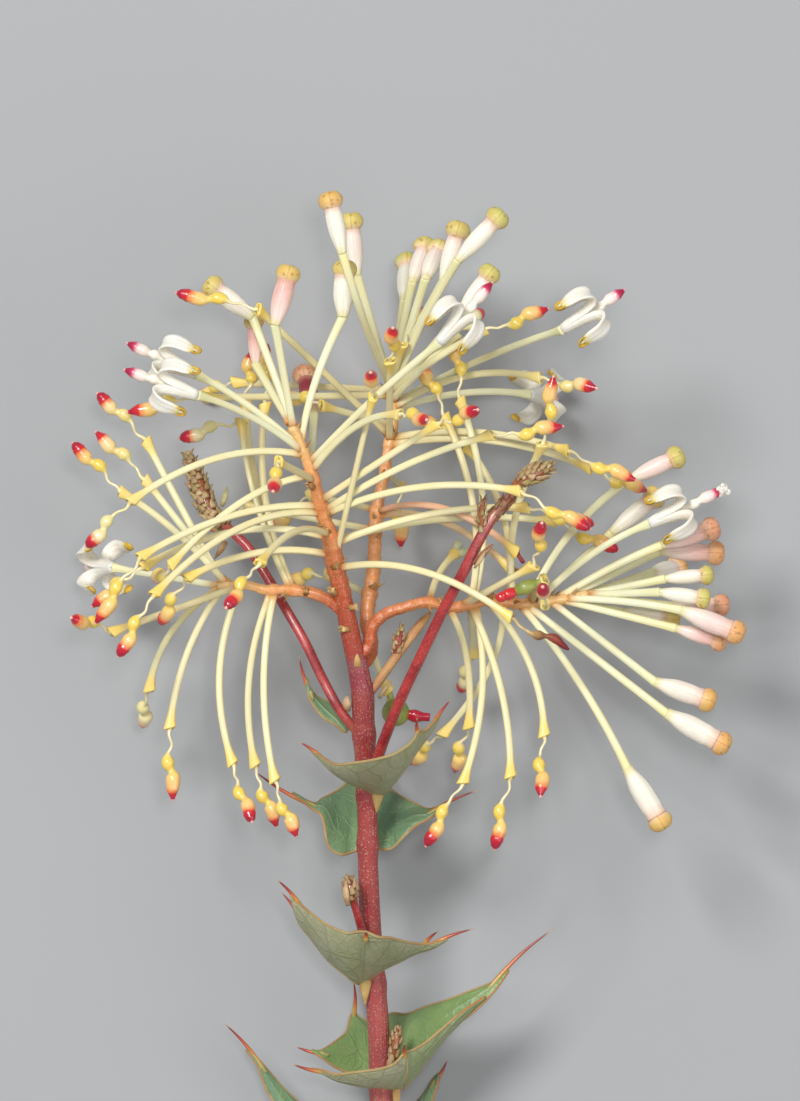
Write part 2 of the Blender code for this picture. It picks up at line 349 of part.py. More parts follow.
def make_finishes(finishes):
    """One Principled material for each finish of a node."""
    made = []
    for name, colour, roughness in finishes:
        material = bpy.data.materials.get(name) or bpy.data.materials.new(name)
        material.use_nodes = True
        shader = material.node_tree.nodes["Principled BSDF"]
        shader.inputs["Base Color"].default_value = (*colour, 1.0)
        shader.inputs["Roughness"].default_value = roughness
        shader.inputs["Metallic"].default_value = 0.0
        material.diffuse_color = (*colour, 1.0)
        made.append(material)
    return made


def unit(vector):
    """The vector's direction, as a numpy array of length one."""
    return vector / max(float(np.linalg.norm(vector)), 1e-9)


def tangents(points):
    """The direction of a path at each of its points."""
    points = np.asarray(points, dtype=float)
    steps = np.diff(points, axis=0)
    steps /= np.linalg.norm(steps, axis=1)[:, None]
    middle = steps[:-1] + steps[1:]
    whole = np.vstack([steps[:1], middle, steps[-1:]])
    return whole / np.linalg.norm(whole, axis=1)[:, None]


def ring_frames(directions):
    """Two cross directions for each ring, carried along the path without twist."""
    first = directions[0]
    start = np.array([0.0, 0.0, 1.0]) if abs(first[2]) < 0.9 else np.array([1.0, 0.0, 0.0])
    side = unit(np.cross(first, start))
    frames = []
    for direction in directions:
        side = unit(side - direction * float(np.dot(side, direction)))
        frames.append((side, unit(np.cross(direction, side))))
    return frames


def tube(points, radii, sides, finishes, directions=None):
    """A closed solid of round rings along a path: its corners, its faces and each face's finish."""
    points = np.asarray(points, dtype=float)
    directions = tangents(points) if directions is None else directions
    corners = []
    for point, radius, (side, up) in zip(points, radii, ring_frames(directions)):
        across, along = radius if isinstance(radius, tuple) else (radius, radius)
        for number in range(sides):
            angle = 2.0 * math.pi * (number + 0.5) / sides
            corners.append(point + side * math.cos(angle) * across + up * math.sin(angle) * along)
    faces = []
    tints = []
    for ring in range(len(points) - 1):
        for number in range(sides):
            low = ring * sides + number
            low_next = ring * sides + (number + 1) % sides
            faces.append((low, low_next, low_next + sides, low + sides))
            tints.append(finishes[ring])
    last = (len(points) - 1) * sides
    faces.append(tuple(range(sides))[::-1])
    tints.append(finishes[0])
    faces.append(tuple(range(last, last + sides)))
    tints.append(finishes[-1])
    return corners, faces, tints


def path_tube(line, sides, finish):
    """A tube along a line of (x, y, z, radius) points, all of one finish."""
    points = [entry[:3] for entry in line]
    return tube(points, [entry[3] for entry in line], sides, [finish] * len(points))


def bud_scales(line, count, length, finish):
    """Small pointed scales set by the golden angle along the last stretch of a shoot."""
    points = np.array([entry[:3] for entry in line])
    radii = np.array([entry[3] for entry in line])
    along = tangents(points)
    golden_angle = math.radians(137.5)
    shapes = []
    for number in range(count):
        place = (number + 0.5) / count * (len(points) - 1) * 0.8
        index = min(int(place), len(points) - 2)
        share = place - index
        centre = points[index] * (1 - share) + points[index + 1] * share
        radius = radii[index] * (1 - share) + radii[index + 1] * share
        axis = along[index]
        side, up = ring_frames([axis])[0]
        angle = golden_angle * number
        outward = side * math.cos(angle) + up * math.sin(angle)
        foot = centre + outward * radius * 0.35
        tip = centre + outward * (radius + 0.32) + axis * length
        shapes.append(tube([foot, tip], [0.42, 0.08], 3, [finish] * 2))
    return shapes


def stem_line():
    """The main stem, which slopes down to its cut end, and its top without the racemes."""
    line = []
    for x, y, radius in STEM_LINE:
        line.append((x, y, STEM_HEIGHT - (SLOPE_START - y) * STEM_SLOPE, radius))
    return line + list(TRUNK_TOP)


def stem_shapes():
    """The stem with its side shoots, scaly bud tips and short axillary shoots."""
    crimson, red, tan, brown = range(4)
    shapes = [path_tube(stem_line(), STEM_SIDES, crimson)]
    shapes.append(path_tube(RIGHT_SHOOT, SHOOT_SIDES, red))
    shapes.append(path_tube(RIGHT_SHOOTLET, SHOOT_SIDES, red))
    shapes.append(path_tube(LEFT_SHOOT, SHOOT_SIDES, red))
    shapes.append(path_tube(TAN_SHOOT, SHOOT_SIDES, tan))
    shapes.append(path_tube(TAN_SIDE_BUD, FLOWER_SIDES, tan))
    shapes.append(path_tube(UPPER_AXILLARY, SHOOT_SIDES, brown))
    shapes.append(path_tube(LOWER_AXILLARY, SHOOT_SIDES, brown))
    shapes += bud_scales(RIGHT_SHOOT[-4:], 6, 0.8, brown)
    shapes += bud_scales(LEFT_SHOOT[-4:], 8, 0.9, brown)
    return shapes


def nearest_on(rachis, x, y):
    """The point on a rachis's centre line nearest to (x, y) in plan, and the radius there."""
    points = np.array(rachis)
    best = None
    for start, end in zip(points[:-1], points[1:]):
        run = end - start
        share = float(np.dot(np.array([x, y]) - start[:2], run[:2]) / np.dot(run[:2], run[:2]))
        share = min(max(share, 0.0), 1.0)
        place = start + run * share
        distance = math.hypot(place[0] - x, place[1] - y)
        if best is None or distance < best[0]:
            best = (distance, place, run)
    inward = unit(best[2][:3]) * END_INSET
    at_end = np.allclose(best[1], points[-1])
    return best[1][:3] - inward * at_end, float(best[1][3])


def flower_length(stage):
    """The length beyond the torus that a flower of this stage has."""
    if "bud" in stage:
        return BUD_LENGTH
    return OPEN_LENGTH if stage == "open" else PISTIL_LENGTH


def flower_lines(row, rachis, torus_shift, middle_shift):
    """The stalk's points and the tip of a flower, with its torus and middle moved in depth."""
    stage, root, torus, tip, lean, sag = row
    centre, radius = nearest_on(rachis, *root)
    torus = np.array(torus) + np.array([0.0, 0.0, torus_shift])
    control = (centre + torus) / 2 + 2.0 * np.array([sag[0], sag[1], 0.0])
    control[2] += 2.0 * middle_shift
    start = centre + unit(control - centre) * radius * ROOT_DEPTH
    steps = CURVED_STALK_STEPS if math.hypot(*sag) > CURVED_SAG or middle_shift else STALK_STEPS
    stalk = []
    for share in (*steps, 1.0):
        stalk.append(start * (1 - share) ** 2 + control * 2 * share * (1 - share) + torus * share ** 2)
    flat = math.hypot(tip[0] - torus[0], tip[1] - torus[1])
    rise = lean * math.sqrt(max(flower_length(stage) ** 2 - flat ** 2, 0.0))
    return np.array(stalk), np.array([tip[0], tip[1], torus[2] + rise])


def head_rings(stage, torus, tip):
    """The rings beyond the torus: centre, radius and finish of each."""
    axis = unit(tip - torus)
    length = float(np.linalg.norm(tip - torus))
    side = ring_frames([axis])[0][0]
    if "bud" in stage:
        colour = PINK if stage == "pink bud" else WHITE
        fullness = 1.2 if stage == "full bud" else min(max(length / BUD_LENGTH, 0.8), 1.0)
        rings = []
        for share, radius in BUD_TUBE_RINGS:
            rings.append((torus + axis * share * length, radius * fullness, colour))
        ball = min(fullness, 1.0)
        for place, share in BUD_BALL_RINGS:
            rings.append((tip + axis * place * ball, BUD_BALL_RADIUS * share * ball, GOLD))
        return rings
    if stage == "berry":
        rings = []
        for share in (0.12, 0.5, 0.88):
            reach = BERRY_RADIUS * math.sin(math.pi * share)
            rings.append((tip + axis * BERRY_RADIUS * (2 * share - 1), reach, GREEN))
        return rings
    rings = []
    for share, radius, off, tint in HEAD_RINGS[stage]:
        rings.append((torus + axis * share * length + side * off, radius, tint))
    return rings


def berry_style(berry):
    """The stout red style on a berry's side: its points and their radii."""
    points = [berry + np.array([right, forward, 0.0]) for right, forward, _ in BERRY_STYLE]
    return points, [radius for _, _, radius in BERRY_STYLE]


def tepal_lines(torus, tip):
    """The four curled tepals of an open flower: out of the torus, forwards, and turned back."""
    axis = unit(tip - torus)
    side, up = ring_frames([axis])[0]
    lines = []
    for turn in TEPAL_TURNS:
        angle = math.radians(turn)
        outward = side * math.cos(angle) + up * math.sin(angle)
        points = [torus + axis * ahead + outward * out for ahead, out in TEPAL_LINE]
        lines.append((np.array(points), outward, axis))
    return lines


def strap(line, outward, axis):
    """A tepal as a flat four-sided strap whose broad side faces away from the flower's axis."""
    across = unit(np.cross(axis, outward))
    directions = tangents(line)
    corners = []
    for number, (point, direction) in enumerate(zip(line, directions)):
        end = number == len(line) - 1
        half_width = TEPAL_WIDTH / 2 * (1.1 if end else 1.0)
        half_depth = TEPAL_THICKNESS / 2 * (1.4 if end else 1.0)
        depth = unit(np.cross(across, direction))
        for wide, deep in ((-1, -1), (1, -1), (1, 1), (-1, 1)):
            corners.append(point + across * half_width * wide + depth * half_depth * deep)
    faces = []
    tints = []
    for ring in range(len(line) - 1):
        for number in range(4):
            low = ring * 4 + number
            low_next = ring * 4 + (number + 1) % 4
            faces.append((low, low_next, low_next + 4, low + 4))
            tints.append(YELLOW if ring == len(line) - 2 else WHITE)
    last = (len(line) - 1) * 4
    faces += [(3, 2, 1, 0), (last, last + 1, last + 2, last + 3)]
    tints += [WHITE, YELLOW]
    return corners, faces, tints


def samples(points, radii):
    """Spheres along a path, close together, that stand for the space it fills."""
    points = np.asarray(points, dtype=float)
    radii = np.asarray(radii, dtype=float)
    found = []
    for start, end, wide, narrow in zip(points[:-1], points[1:], radii[:-1], radii[1:]):
        count = max(int(math.ceil(float(np.linalg.norm(end - start)) / SAMPLE_SPACING)), 1)
        share = np.linspace(0.0, 1.0, count + 1)[:, None]
        path = start * (1 - share) + end * share
        found.append(np.hstack([path, wide * (1 - share) + narrow * share]))
    return np.vstack(found)


def flower_space(row, stalk, tip):
    """The space that a flower fills, as spheres."""
    stage = row[0]
    rings = head_rings(stage, stalk[-1], tip)
    points = [*stalk, *[ring[0] for ring in rings]]
    radii = [STALK_RADIUS] * (len(stalk) - 1) + [TORUS_RADIUS] + [ring[1] for ring in rings]
    space = [samples(points, radii)]
    if stage == "open":
        for line, _, _ in tepal_lines(stalk[-1], tip):
            space.append(samples(line, [TEPAL_WIDTH / 2 + 0.1] * len(line)))
    if stage == "berry":
        space.append(samples(*berry_style(tip)))
    return np.vstack(space)


def gap_between(space, others):
    """The least distance between the surfaces of two sets of spheres."""
    reach = 3.0
    low = space[:, :3].min(axis=0) - reach
    high = space[:, :3].max(axis=0) + reach
    near = others[np.all((others[:, :3] > low) & (others[:, :3] < high), axis=1)]
    if not len(near):
        return reach
    apart = np.linalg.norm(space[:, None, :3] - near[None, :, :3], axis=2)
    return float((apart - space[:, None, 3] - near[None, :, 3]).min())


def depth_tries():
    """Pairs of depth shifts for torus and middle, from the smallest change to the largest."""
    tries = []
    for torus in range(-5, 6):
        for middle in range(-5, 6):
            tries.append((torus * TORUS_STEP, middle * MIDDLE_STEP))
    return sorted(tries, key=lambda pair: (abs(pair[0]) * 1.3 + abs(pair[1]), pair))


def place_flowers(rows, rachis, others):
    """Each flower of a raceme bends clear, in depth only, of what other nodes hold."""
    placed = []
    for number, row in enumerate(rows):
        best = None
        rests = rachis is BACK_RACHIS and number < 2
        for torus_shift, middle_shift in depth_tries():
            if rests and torus_shift:
                continue
            stalk, tip = flower_lines(row, rachis, torus_shift, middle_shift)
            space = flower_space(row, stalk, tip)
            floor_gap = float((space[:, 2] - space[:, 3]).min()) - SURFACE_CLEARANCE
            gap = gap_between(space, others) - CLEARANCE
            score = gap if rests else min(gap, floor_gap)
            if best is None or score > best[0]:
                best = (score, stalk, tip, space)
            if score >= 0.0:
                break
        if best[0] < 0.0:
            print("flower", number, row[0], row[2], "stays short of its clearance by", round(-best[0], 2))
        placed.append((row, best[1], best[2], best[3]))
    return placed


def flower_shapes(row, stalk, tip):
    """The closed solids of one flower: stalk, torus and pistil or bud in one, and any tepals."""
    stage = row[0]
    rings = head_rings(stage, stalk[-1], tip)
    points = np.array([*stalk, *[ring[0] for ring in rings]])
    count = len(stalk)
    radii = [STALK_RADIUS] * (count - 2) + [TORUS_RADIUS * 0.75, TORUS_RADIUS] + [ring[1] for ring in rings]
    finishes = [IVORY] * (count - 2) + [YELLOW, YELLOW] + [ring[2] for ring in rings]
    directions = tangents(points)
    arriving = unit(stalk[-1] - stalk[-2])
    leaving = unit(tip - stalk[-1])
    directions[count - 1] = unit(arriving + 1.4 * leaving)
    directions[count] = leaving
    sides = FLOWER_SIDES
    if float(np.dot(arriving, leaving)) > SHARPEST_TURN:
        shapes = [tube(points, radii, sides, finishes, directions)]
    else:
        shapes = [tube(points[:count], radii[:count], sides, finishes[:count])]
        head = [stalk[-1], *points[count:]]
        shapes.append(tube(head, [radii[count], *radii[count:]], sides, finishes[count - 1:]))
    if stage == "open":
        shapes += [strap(line, outward, axis) for line, outward, axis in tepal_lines(stalk[-1], tip)]
    if stage == "berry":
        style, thickness = berry_style(tip)
        shapes.append(tube(style, thickness, sides, [RED] * len(style)))
    return shapes


def leaf_sheet(columns):
    """A stiff blade: points between the margins, bulged a little, and split alike on both faces."""
    lower = np.array([pair[0] for pair in columns], dtype=float)
    upper = np.array([pair[1] for pair in columns], dtype=float)
    share = np.array(CROSS_STEPS)[None, :, None]
    grid = lower[:, None, :] * (1 - share) + upper[:, None, :] * share
    width = np.linalg.norm(upper - lower, axis=1)[:, None, None]
    bulge = np.minimum(LEAF_BULGE, width * LEAF_BULGE_SHARE)
    grid = grid + sheet_normals(grid) * bulge * (4 * share * (1 - share))
    normal = sheet_normals(grid)
    front = grid + normal * LEAF_THICKNESS / 2
    back = grid - normal * LEAF_THICKNESS / 2
    rows, across = grid.shape[:2]
    corners = [*front.reshape(-1, 3), *back.reshape(-1, 3)]
    behind = rows * across
    faces = []
    for row in range(rows - 1):
        for step in range(across - 1):
            a = row * across + step
            b = a + 1
            c = a + across + 1
            d = a + across
            faces += [(a, b, c), (a, c, d)]
            faces += [(c + behind, b + behind, a + behind), (d + behind, c + behind, a + behind)]
    edge = [row * across for row in range(rows)]
    edge += [(rows - 1) * across + step for step in range(1, across)]
    edge += [row * across + across - 1 for row in range(rows - 2, -1, -1)]
    edge += list(range(across - 2, 0, -1))
    for here, after in zip(edge, edge[1:] + edge[:1]):
        faces += [(here, after, after + behind), (here, after + behind, here + behind)]
    return corners, faces, [0] * len(faces)


def sheet_normals(grid):
    """The direction square to a grid of points, at each of them."""
    along = np.gradient(grid, axis=0)
    across = np.gradient(grid, axis=1)
    normal = np.cross(along, across)
    normal /= np.linalg.norm(normal, axis=2)[:, :, None]
    for _ in range(2):
        beside = np.concatenate([normal[:1], normal, normal[-1:]])
        normal = beside[:-2] + 2 * beside[1:-1] + beside[2:]
        normal /= np.linalg.norm(normal, axis=2)[:, :, None]
    return normal


def spine(base, tip):
    """A tapering spine, rooted in the blade."""
    base = np.array(base)
    tip = np.array(tip)
    middle = base * 0.45 + tip * 0.55
    radii = [SPINE_RADIUS, SPINE_RADIUS * 0.7, SPINE_TIP_RADIUS]
    return tube([base, middle, tip], radii, 5, [1, 1, 1])


def shape_object(name, shape, materials):
    """A mesh object, still in millimetres, from corners, faces and finishes."""
    corners, faces, tints = shape
    mesh = bpy.data.meshes.new(name)
    mesh.from_pydata([tuple(corner) for corner in corners], [], faces)
    for material in materials:
        mesh.materials.append(material)
    mesh.polygons.foreach_set("material_index", tints)
    work = bmesh.new()
    work.from_mesh(mesh)
    cut_at_surface(work)
    bmesh.ops.triangulate(work, faces=work.faces)
    bmesh.ops.recalc_face_normals(work, faces=work.faces)
    work.to_mesh(mesh)
    work.free()
    return bpy.data.objects.new(name, mesh)


def cut_at_surface(work):
    """A tip that would reach below the surface gets a small flat spot on it."""
    if min(vertex.co.z for vertex in work.verts) >= 0.0:
        return
    geometry = [*work.verts, *work.edges, *work.faces]
    bmesh.ops.bisect_plane(work, geom=geometry, plane_co=(0, 0, 0), plane_no=(0, 0, -1), clear_outer=True)
    rim = [edge for edge in work.edges if edge.is_boundary]
    bmesh.ops.edgeloop_fill(work, edges=rim)


def fuse(name, shapes, finishes):
    """One solid from many closed shapes, by a single union on a collection of them."""
    materials = make_finishes(finishes)
    node = shape_object(name, shapes[0], materials)
    bpy.context.scene.collection.objects.link(node)
    group = bpy.data.collections.new(name + "_shapes")
    bpy.context.scene.collection.children.link(group)
    for number, shape in enumerate(shapes[1:]):
        group.objects.link(shape_object(f"{name}_shape_{number}", shape, materials))
    if len(group.objects):
        union = node.modifiers.new("union", "BOOLEAN")
        union.operation = "UNION"
        union.operand_type = "COLLECTION"
        union.collection = group
        union.solver = "EXACT"
        view = bpy.context.evaluated_depsgraph_get()
        joined = bpy.data.meshes.new_from_object(node.evaluated_get(view))
        node.modifiers.clear()
        node.data = joined
    for piece in list(group.objects):
        bpy.data.objects.remove(piece, do_unlink=True)
    bpy.data.collections.remove(group)
    finish_mesh(node.data)
    return node


def finish_mesh(mesh):
    """Tidy triangles, the real size in metres, and soft shading on round forms."""
    work = bmesh.new()
    work.from_mesh(mesh)
    bmesh.ops.dissolve_degenerate(work, edges=work.edges, dist=0.0005)
    flat = math.radians(FLAT_ANGLE)
    bmesh.ops.dissolve_limit(work, angle_limit=flat, verts=work.verts, edges=work.edges, delimit={"MATERIAL"})
    bmesh.ops.triangulate(work, faces=work.faces)
    work.to_mesh(mesh)
    work.free()
    shift = Matrix.Translation(Vector(ORIGIN_SHIFT) * MM)
    mesh.transform(shift @ Matrix.Diagonal((MM, MM, MM, 1.0)))
    mesh.shade_smooth()
    mesh.set_sharp_from_angle(angle=math.radians(50))


def build_leaf(name, sheets, spines):
    """A leaf of one or two blades that share a keel, with its marginal spines."""
    shapes = [leaf_sheet(columns) for columns in sheets]
    shapes += [spine(base, tip) for base, tip in spines]
    return fuse(name, shapes, LEAF_FINISHES)


def sheet_space(sheets, spines):
    """The space that a leaf fills, as spheres."""
    space = []
    for columns in sheets:
        for lower, upper in columns:
            space.append(samples([lower, upper], [LEAF_THICKNESS, LEAF_THICKNESS]))
        for first, second in zip(columns[:-1], columns[1:]):
            middle = (np.array(first) + np.array(second)) / 2
            space.append(samples(middle, [LEAF_THICKNESS, LEAF_THICKNESS]))
    for base, tip in spines:
        space.append(samples([base, tip], [SPINE_RADIUS, SPINE_TIP_RADIUS]))
    return np.vstack(space)


def line_space(line):
    """The space of a stem, a shoot or a rachis, as spheres."""
    return samples([entry[:3] for entry in line], [entry[3] for entry in line])


LEAVES = {
    "leaf_a": ((LEAF_A,), LEAF_A_SPINES),
    "leaf_b": ((LEAF_B,), LEAF_B_SPINES),
    "leaf_c": ((LEAF_C,), LEAF_C_SPINES),
    "leaf_d": ((LEAF_D_REAR, LEAF_D_FRONT), LEAF_D_SPINES),
    "leaf_e": ((LEAF_E,), LEAF_E_SPINES),
    "leaf_f": ((LEAF_F,), LEAF_F_SPINES),
}
RACEMES = {
    "raceme_front": (FRONT_RACHIS, FRONT_FLOWERS),
    "raceme_right": (RIGHT_RACHIS, RIGHT_FLOWERS),
    "raceme_left": (LEFT_RACHIS, LEFT_FLOWERS),
    "raceme_back": (BACK_RACHIS, BACK_FLOWERS),
}


def plan_flowers():
    """Where every flower goes: each raceme keeps clear of stem, leaves and the other racemes."""
    spaces = {"stem": [line_space(stem_line())]}
    for shoot in (RIGHT_SHOOT, RIGHT_SHOOTLET, LEFT_SHOOT, TAN_SHOOT, TAN_SIDE_BUD):
        spaces["stem"].append(line_space(shoot) + np.array([0.0, 0.0, 0.0, SCALE_ROOM]))
    for name, (sheets, spines) in LEAVES.items():
        spaces[name] = [sheet_space(sheets, spines)]
    for name, (rachis, _) in RACEMES.items():
        spaces[name] = [line_space(rachis)]
    plan = {}
    for name, (rachis, rows) in RACEMES.items():
        others = np.vstack([space for owner, parts in spaces.items() if owner != name for space in parts])
        plan[name] = place_flowers(rows, rachis, others)
        spaces[name] += [placed[3] for placed in plan[name]]
    return plan


def build():
    """The whole flower head."""
    clear_scene()
    fuse("stem", stem_shapes(), STEM_FINISHES)
    for name, placed in plan_flowers().items():
        shapes = [path_tube(RACEMES[name][0], SHOOT_SIDES, ORANGE)]
        for row, stalk, tip, _ in placed:
            shapes += flower_shapes(row, stalk, tip)
        fuse(name, shapes, RACEME_FINISHES)
    for name, (sheets, spines) in LEAVES.items():
        build_leaf(name, sheets, spines)


build()
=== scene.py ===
import json
import math

import bpy
import numpy as np
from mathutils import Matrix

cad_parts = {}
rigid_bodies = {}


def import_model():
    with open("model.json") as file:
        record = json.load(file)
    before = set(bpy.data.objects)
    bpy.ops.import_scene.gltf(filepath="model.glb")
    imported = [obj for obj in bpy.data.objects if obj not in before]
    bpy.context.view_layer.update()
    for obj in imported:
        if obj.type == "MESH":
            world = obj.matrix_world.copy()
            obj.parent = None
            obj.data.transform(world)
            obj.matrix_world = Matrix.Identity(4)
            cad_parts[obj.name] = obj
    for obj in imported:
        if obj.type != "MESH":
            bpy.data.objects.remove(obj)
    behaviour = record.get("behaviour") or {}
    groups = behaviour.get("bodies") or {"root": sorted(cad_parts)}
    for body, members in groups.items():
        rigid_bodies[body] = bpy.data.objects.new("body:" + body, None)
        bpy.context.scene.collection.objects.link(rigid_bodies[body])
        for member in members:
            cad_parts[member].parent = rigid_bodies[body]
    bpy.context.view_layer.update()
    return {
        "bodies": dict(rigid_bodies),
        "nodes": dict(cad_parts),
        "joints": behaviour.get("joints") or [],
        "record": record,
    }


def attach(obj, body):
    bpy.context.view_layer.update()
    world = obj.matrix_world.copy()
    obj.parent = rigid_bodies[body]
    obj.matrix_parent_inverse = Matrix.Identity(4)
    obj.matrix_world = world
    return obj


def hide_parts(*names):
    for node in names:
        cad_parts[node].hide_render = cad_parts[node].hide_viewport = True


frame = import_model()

millimetre = 0.001
originShift = np.array([-0.9, -0.81, 0.0])  # from the photo's datum to the frame's origin
fullTurn = 2 * math.pi
goldenTurn = math.radians(137.5)
sideways = np.array([1.0, 0.0, 0.0])
upwards = np.array([0.0, 0.0, 1.0])
print("frame loaded:", len(frame["nodes"]), "nodes")


# Curves and surfaces, all worked out as whole arrays

def smoothCurve(t, keys, values):
    # cubic Hermite through the keys, each with the mean slope of its neighbours
    keys, values = np.asarray(keys, float), np.asarray(values, float)
    slopes = np.gradient(values, keys, axis=0)
    place = np.clip(np.searchsorted(keys, t, side="right") - 1, 0, len(keys) - 2)
    span = keys[place + 1] - keys[place]
    s = (t - keys[place]) / span
    if values.ndim > 1:
        s, span = s[:, None], span[:, None]
    return ((2 * s ** 3 - 3 * s ** 2 + 1) * values[place] + (s ** 3 - 2 * s ** 2 + s) * span * slopes[place]
            + (s ** 3 - s ** 2) * span * slopes[place + 1] + (3 * s ** 2 - 2 * s ** 3) * values[place + 1])


def unit(vectors):
    return vectors / np.maximum(np.linalg.norm(vectors, axis=-1, keepdims=True), 1e-9)


def lengthsAlong(points):
    return np.concatenate([[0.0], np.cumsum(np.linalg.norm(np.diff(points[:, :3], axis=0), axis=1))])


def pathThrough(points, spacing):
    # a smooth run through the given points, with a ring about every spacing
    points = np.asarray(points, float)
    keys = lengthsAlong(points)
    along = np.linspace(0.0, keys[-1], max(int(keys[-1] / spacing), 6))
    return smoothCurve(along, keys, points), along


def ringFrames(path, across=None):
    # tangent from differences; the cross directions come from the axis that the path runs least along
    tangent = unit(np.gradient(path, axis=0))
    if across is None:
        side = unit(np.cross(tangent, np.eye(3)[np.argmin(np.abs(tangent).max(axis=0))]))
    else:
        side = unit(np.broadcast_to(across, path.shape) - tangent * (tangent @ across)[:, None])
    return tangent, side, np.cross(tangent, side)


def around(side, up, angle):
    return side * math.cos(angle) + up * math.sin(angle)


def perPoint(value, rows, sides):
    # one number for the part, or one for each row or each point, as one for each point and both poles
    value = np.asarray(value, float)
    value = np.broadcast_to(value[:, None] if value.ndim == 1 else value, (rows, sides))
    return np.concatenate([value.ravel(), [value[0].mean(), value[-1].mean()]])


def closedPart(rings, startPole, endPole, along, slot, tone=0.0, rib=0.0):
    # rows of points round a form, joined by quads and closed by a fan at each end
    rows, sides = rings.shape[:2]
    index = np.arange(rows * sides).reshape(rows, sides)
    after = np.roll(index, -1, axis=1)
    pole = np.full(sides, rows * sides)
    turn = np.arange(sides) / sides
    v = np.stack([turn, turn + 1 / sides, turn + 1 / sides, turn], axis=-1)
    u = np.stack([along[:-1], along[:-1], along[1:], along[1:]], axis=-1)
    fanV = np.stack([turn + 0.5 / sides, turn + 1 / sides, turn], axis=-1)
    ends = ((along[0], fanV), (along[-1], fanV[:, [0, 2, 1]]))
    return {
        "points": np.vstack([rings.reshape(-1, 3), startPole[None], endPole[None]]),
        "quads": np.stack([index[:-1], after[:-1], after[1:], index[1:]], axis=-1).reshape(-1, 4),
        "fans": np.vstack([np.stack([pole, after[0], index[0]], axis=-1),
                           np.stack([pole + 1, index[-1], after[-1]], axis=-1)]),
        "quadUv": np.stack(np.broadcast_arrays(u[:, None, :], v[None, :, :]), axis=-1).reshape(-1, 2),
        "fanUv": np.vstack([np.stack([np.full_like(fan, u), fan], axis=-1).reshape(-1, 2)
                            for u, fan in ends]),
        "slot": slot, "tone": perPoint(tone, rows, sides), "rib": perPoint(rib, rows, sides),
    }


def sweep(path, radii, sides, slot, along=None, lobes=0, depth=0.0, flat=1.0, across=None, slant=0.0,
          cup=0.0, tone=0.0, rib=0.0):
    # point = centre + (side cos a + up (sin a flat + cup cos^2 a)) radius (1 + depth cos(lobes a))
    #         + tangent slant cos a
    path = np.asarray(path, float)
    radii, depth, flat, slant = (np.broadcast_to(np.asarray(value, float), len(path))[:, None]
                                 for value in (radii, depth, flat, slant))
    tangent, side, up = (frame[:, None, :] for frame in ringFrames(path, across))
    angle = np.linspace(0.0, fullTurn, sides, endpoint=False)[None, :]
    radius = radii * (1 + depth * np.cos(lobes * angle))
    rise = np.sin(angle) * flat + cup * np.cos(angle) ** 2
    rings = side * (np.cos(angle) * radius)[..., None] + up * (rise * radius)[..., None]
    rings = rings + tangent * (np.cos(angle) * slant)[..., None]
    along = np.linspace(0.0, 1.0, len(path)) if along is None else along
    return closedPart(path[:, None, :] + rings, path[0], path[-1], along, slot, tone, rib)


def makePiece(name, parts, slots, node):
    # all parts of a node in one mesh, in metres, with its UV and the attributes tone and rib
    def joined(key):
        return np.concatenate([part[key] for part in parts])

    points = joined("points")
    # what would dip into the floor is bent flat on it: z = (z + sqrt(z^2 + 0.01)) / 2
    points[:, 2] = (points[:, 2] + np.sqrt(points[:, 2] ** 2 + 0.01)) / 2
    points = (points + originShift) * millimetre
    starts = np.cumsum([0] + [len(part["points"]) for part in parts[:-1]])
    quads, fans = (np.concatenate([part[key] + start for part, start in zip(parts, starts)])
                   for key in ("quads", "fans"))
    finish = [np.full(len(part[key]), slots.index(part["slot"]))
              for key in ("quads", "fans") for part in parts]
    mesh = bpy.data.meshes.new(name)
    mesh.from_pydata(points.tolist(), [], quads.tolist() + fans.tolist())
    places = np.vstack([joined("quadUv"), joined("fanUv")])
    mesh.uv_layers.new(name="place").data.foreach_set("uv", places.ravel())
    mesh.polygons.foreach_set("material_index", np.concatenate(finish).astype(np.int32))
    for label in ("tone", "rib"):
        mesh.attributes.new(label, "FLOAT", "POINT").data.foreach_set("value", joined(label))
    mesh.shade_smooth()
    for label in slots:
        mesh.materials.append(finishes[label])
    piece = bpy.data.objects.new(name, mesh)
    bpy.context.scene.collection.objects.link(piece)
    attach(piece, "root")
    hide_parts(node)
    print("made", name, "with", len(quads) * 2 + len(fans), "triangles")


# Shader nodes, and the groups that several finishes share

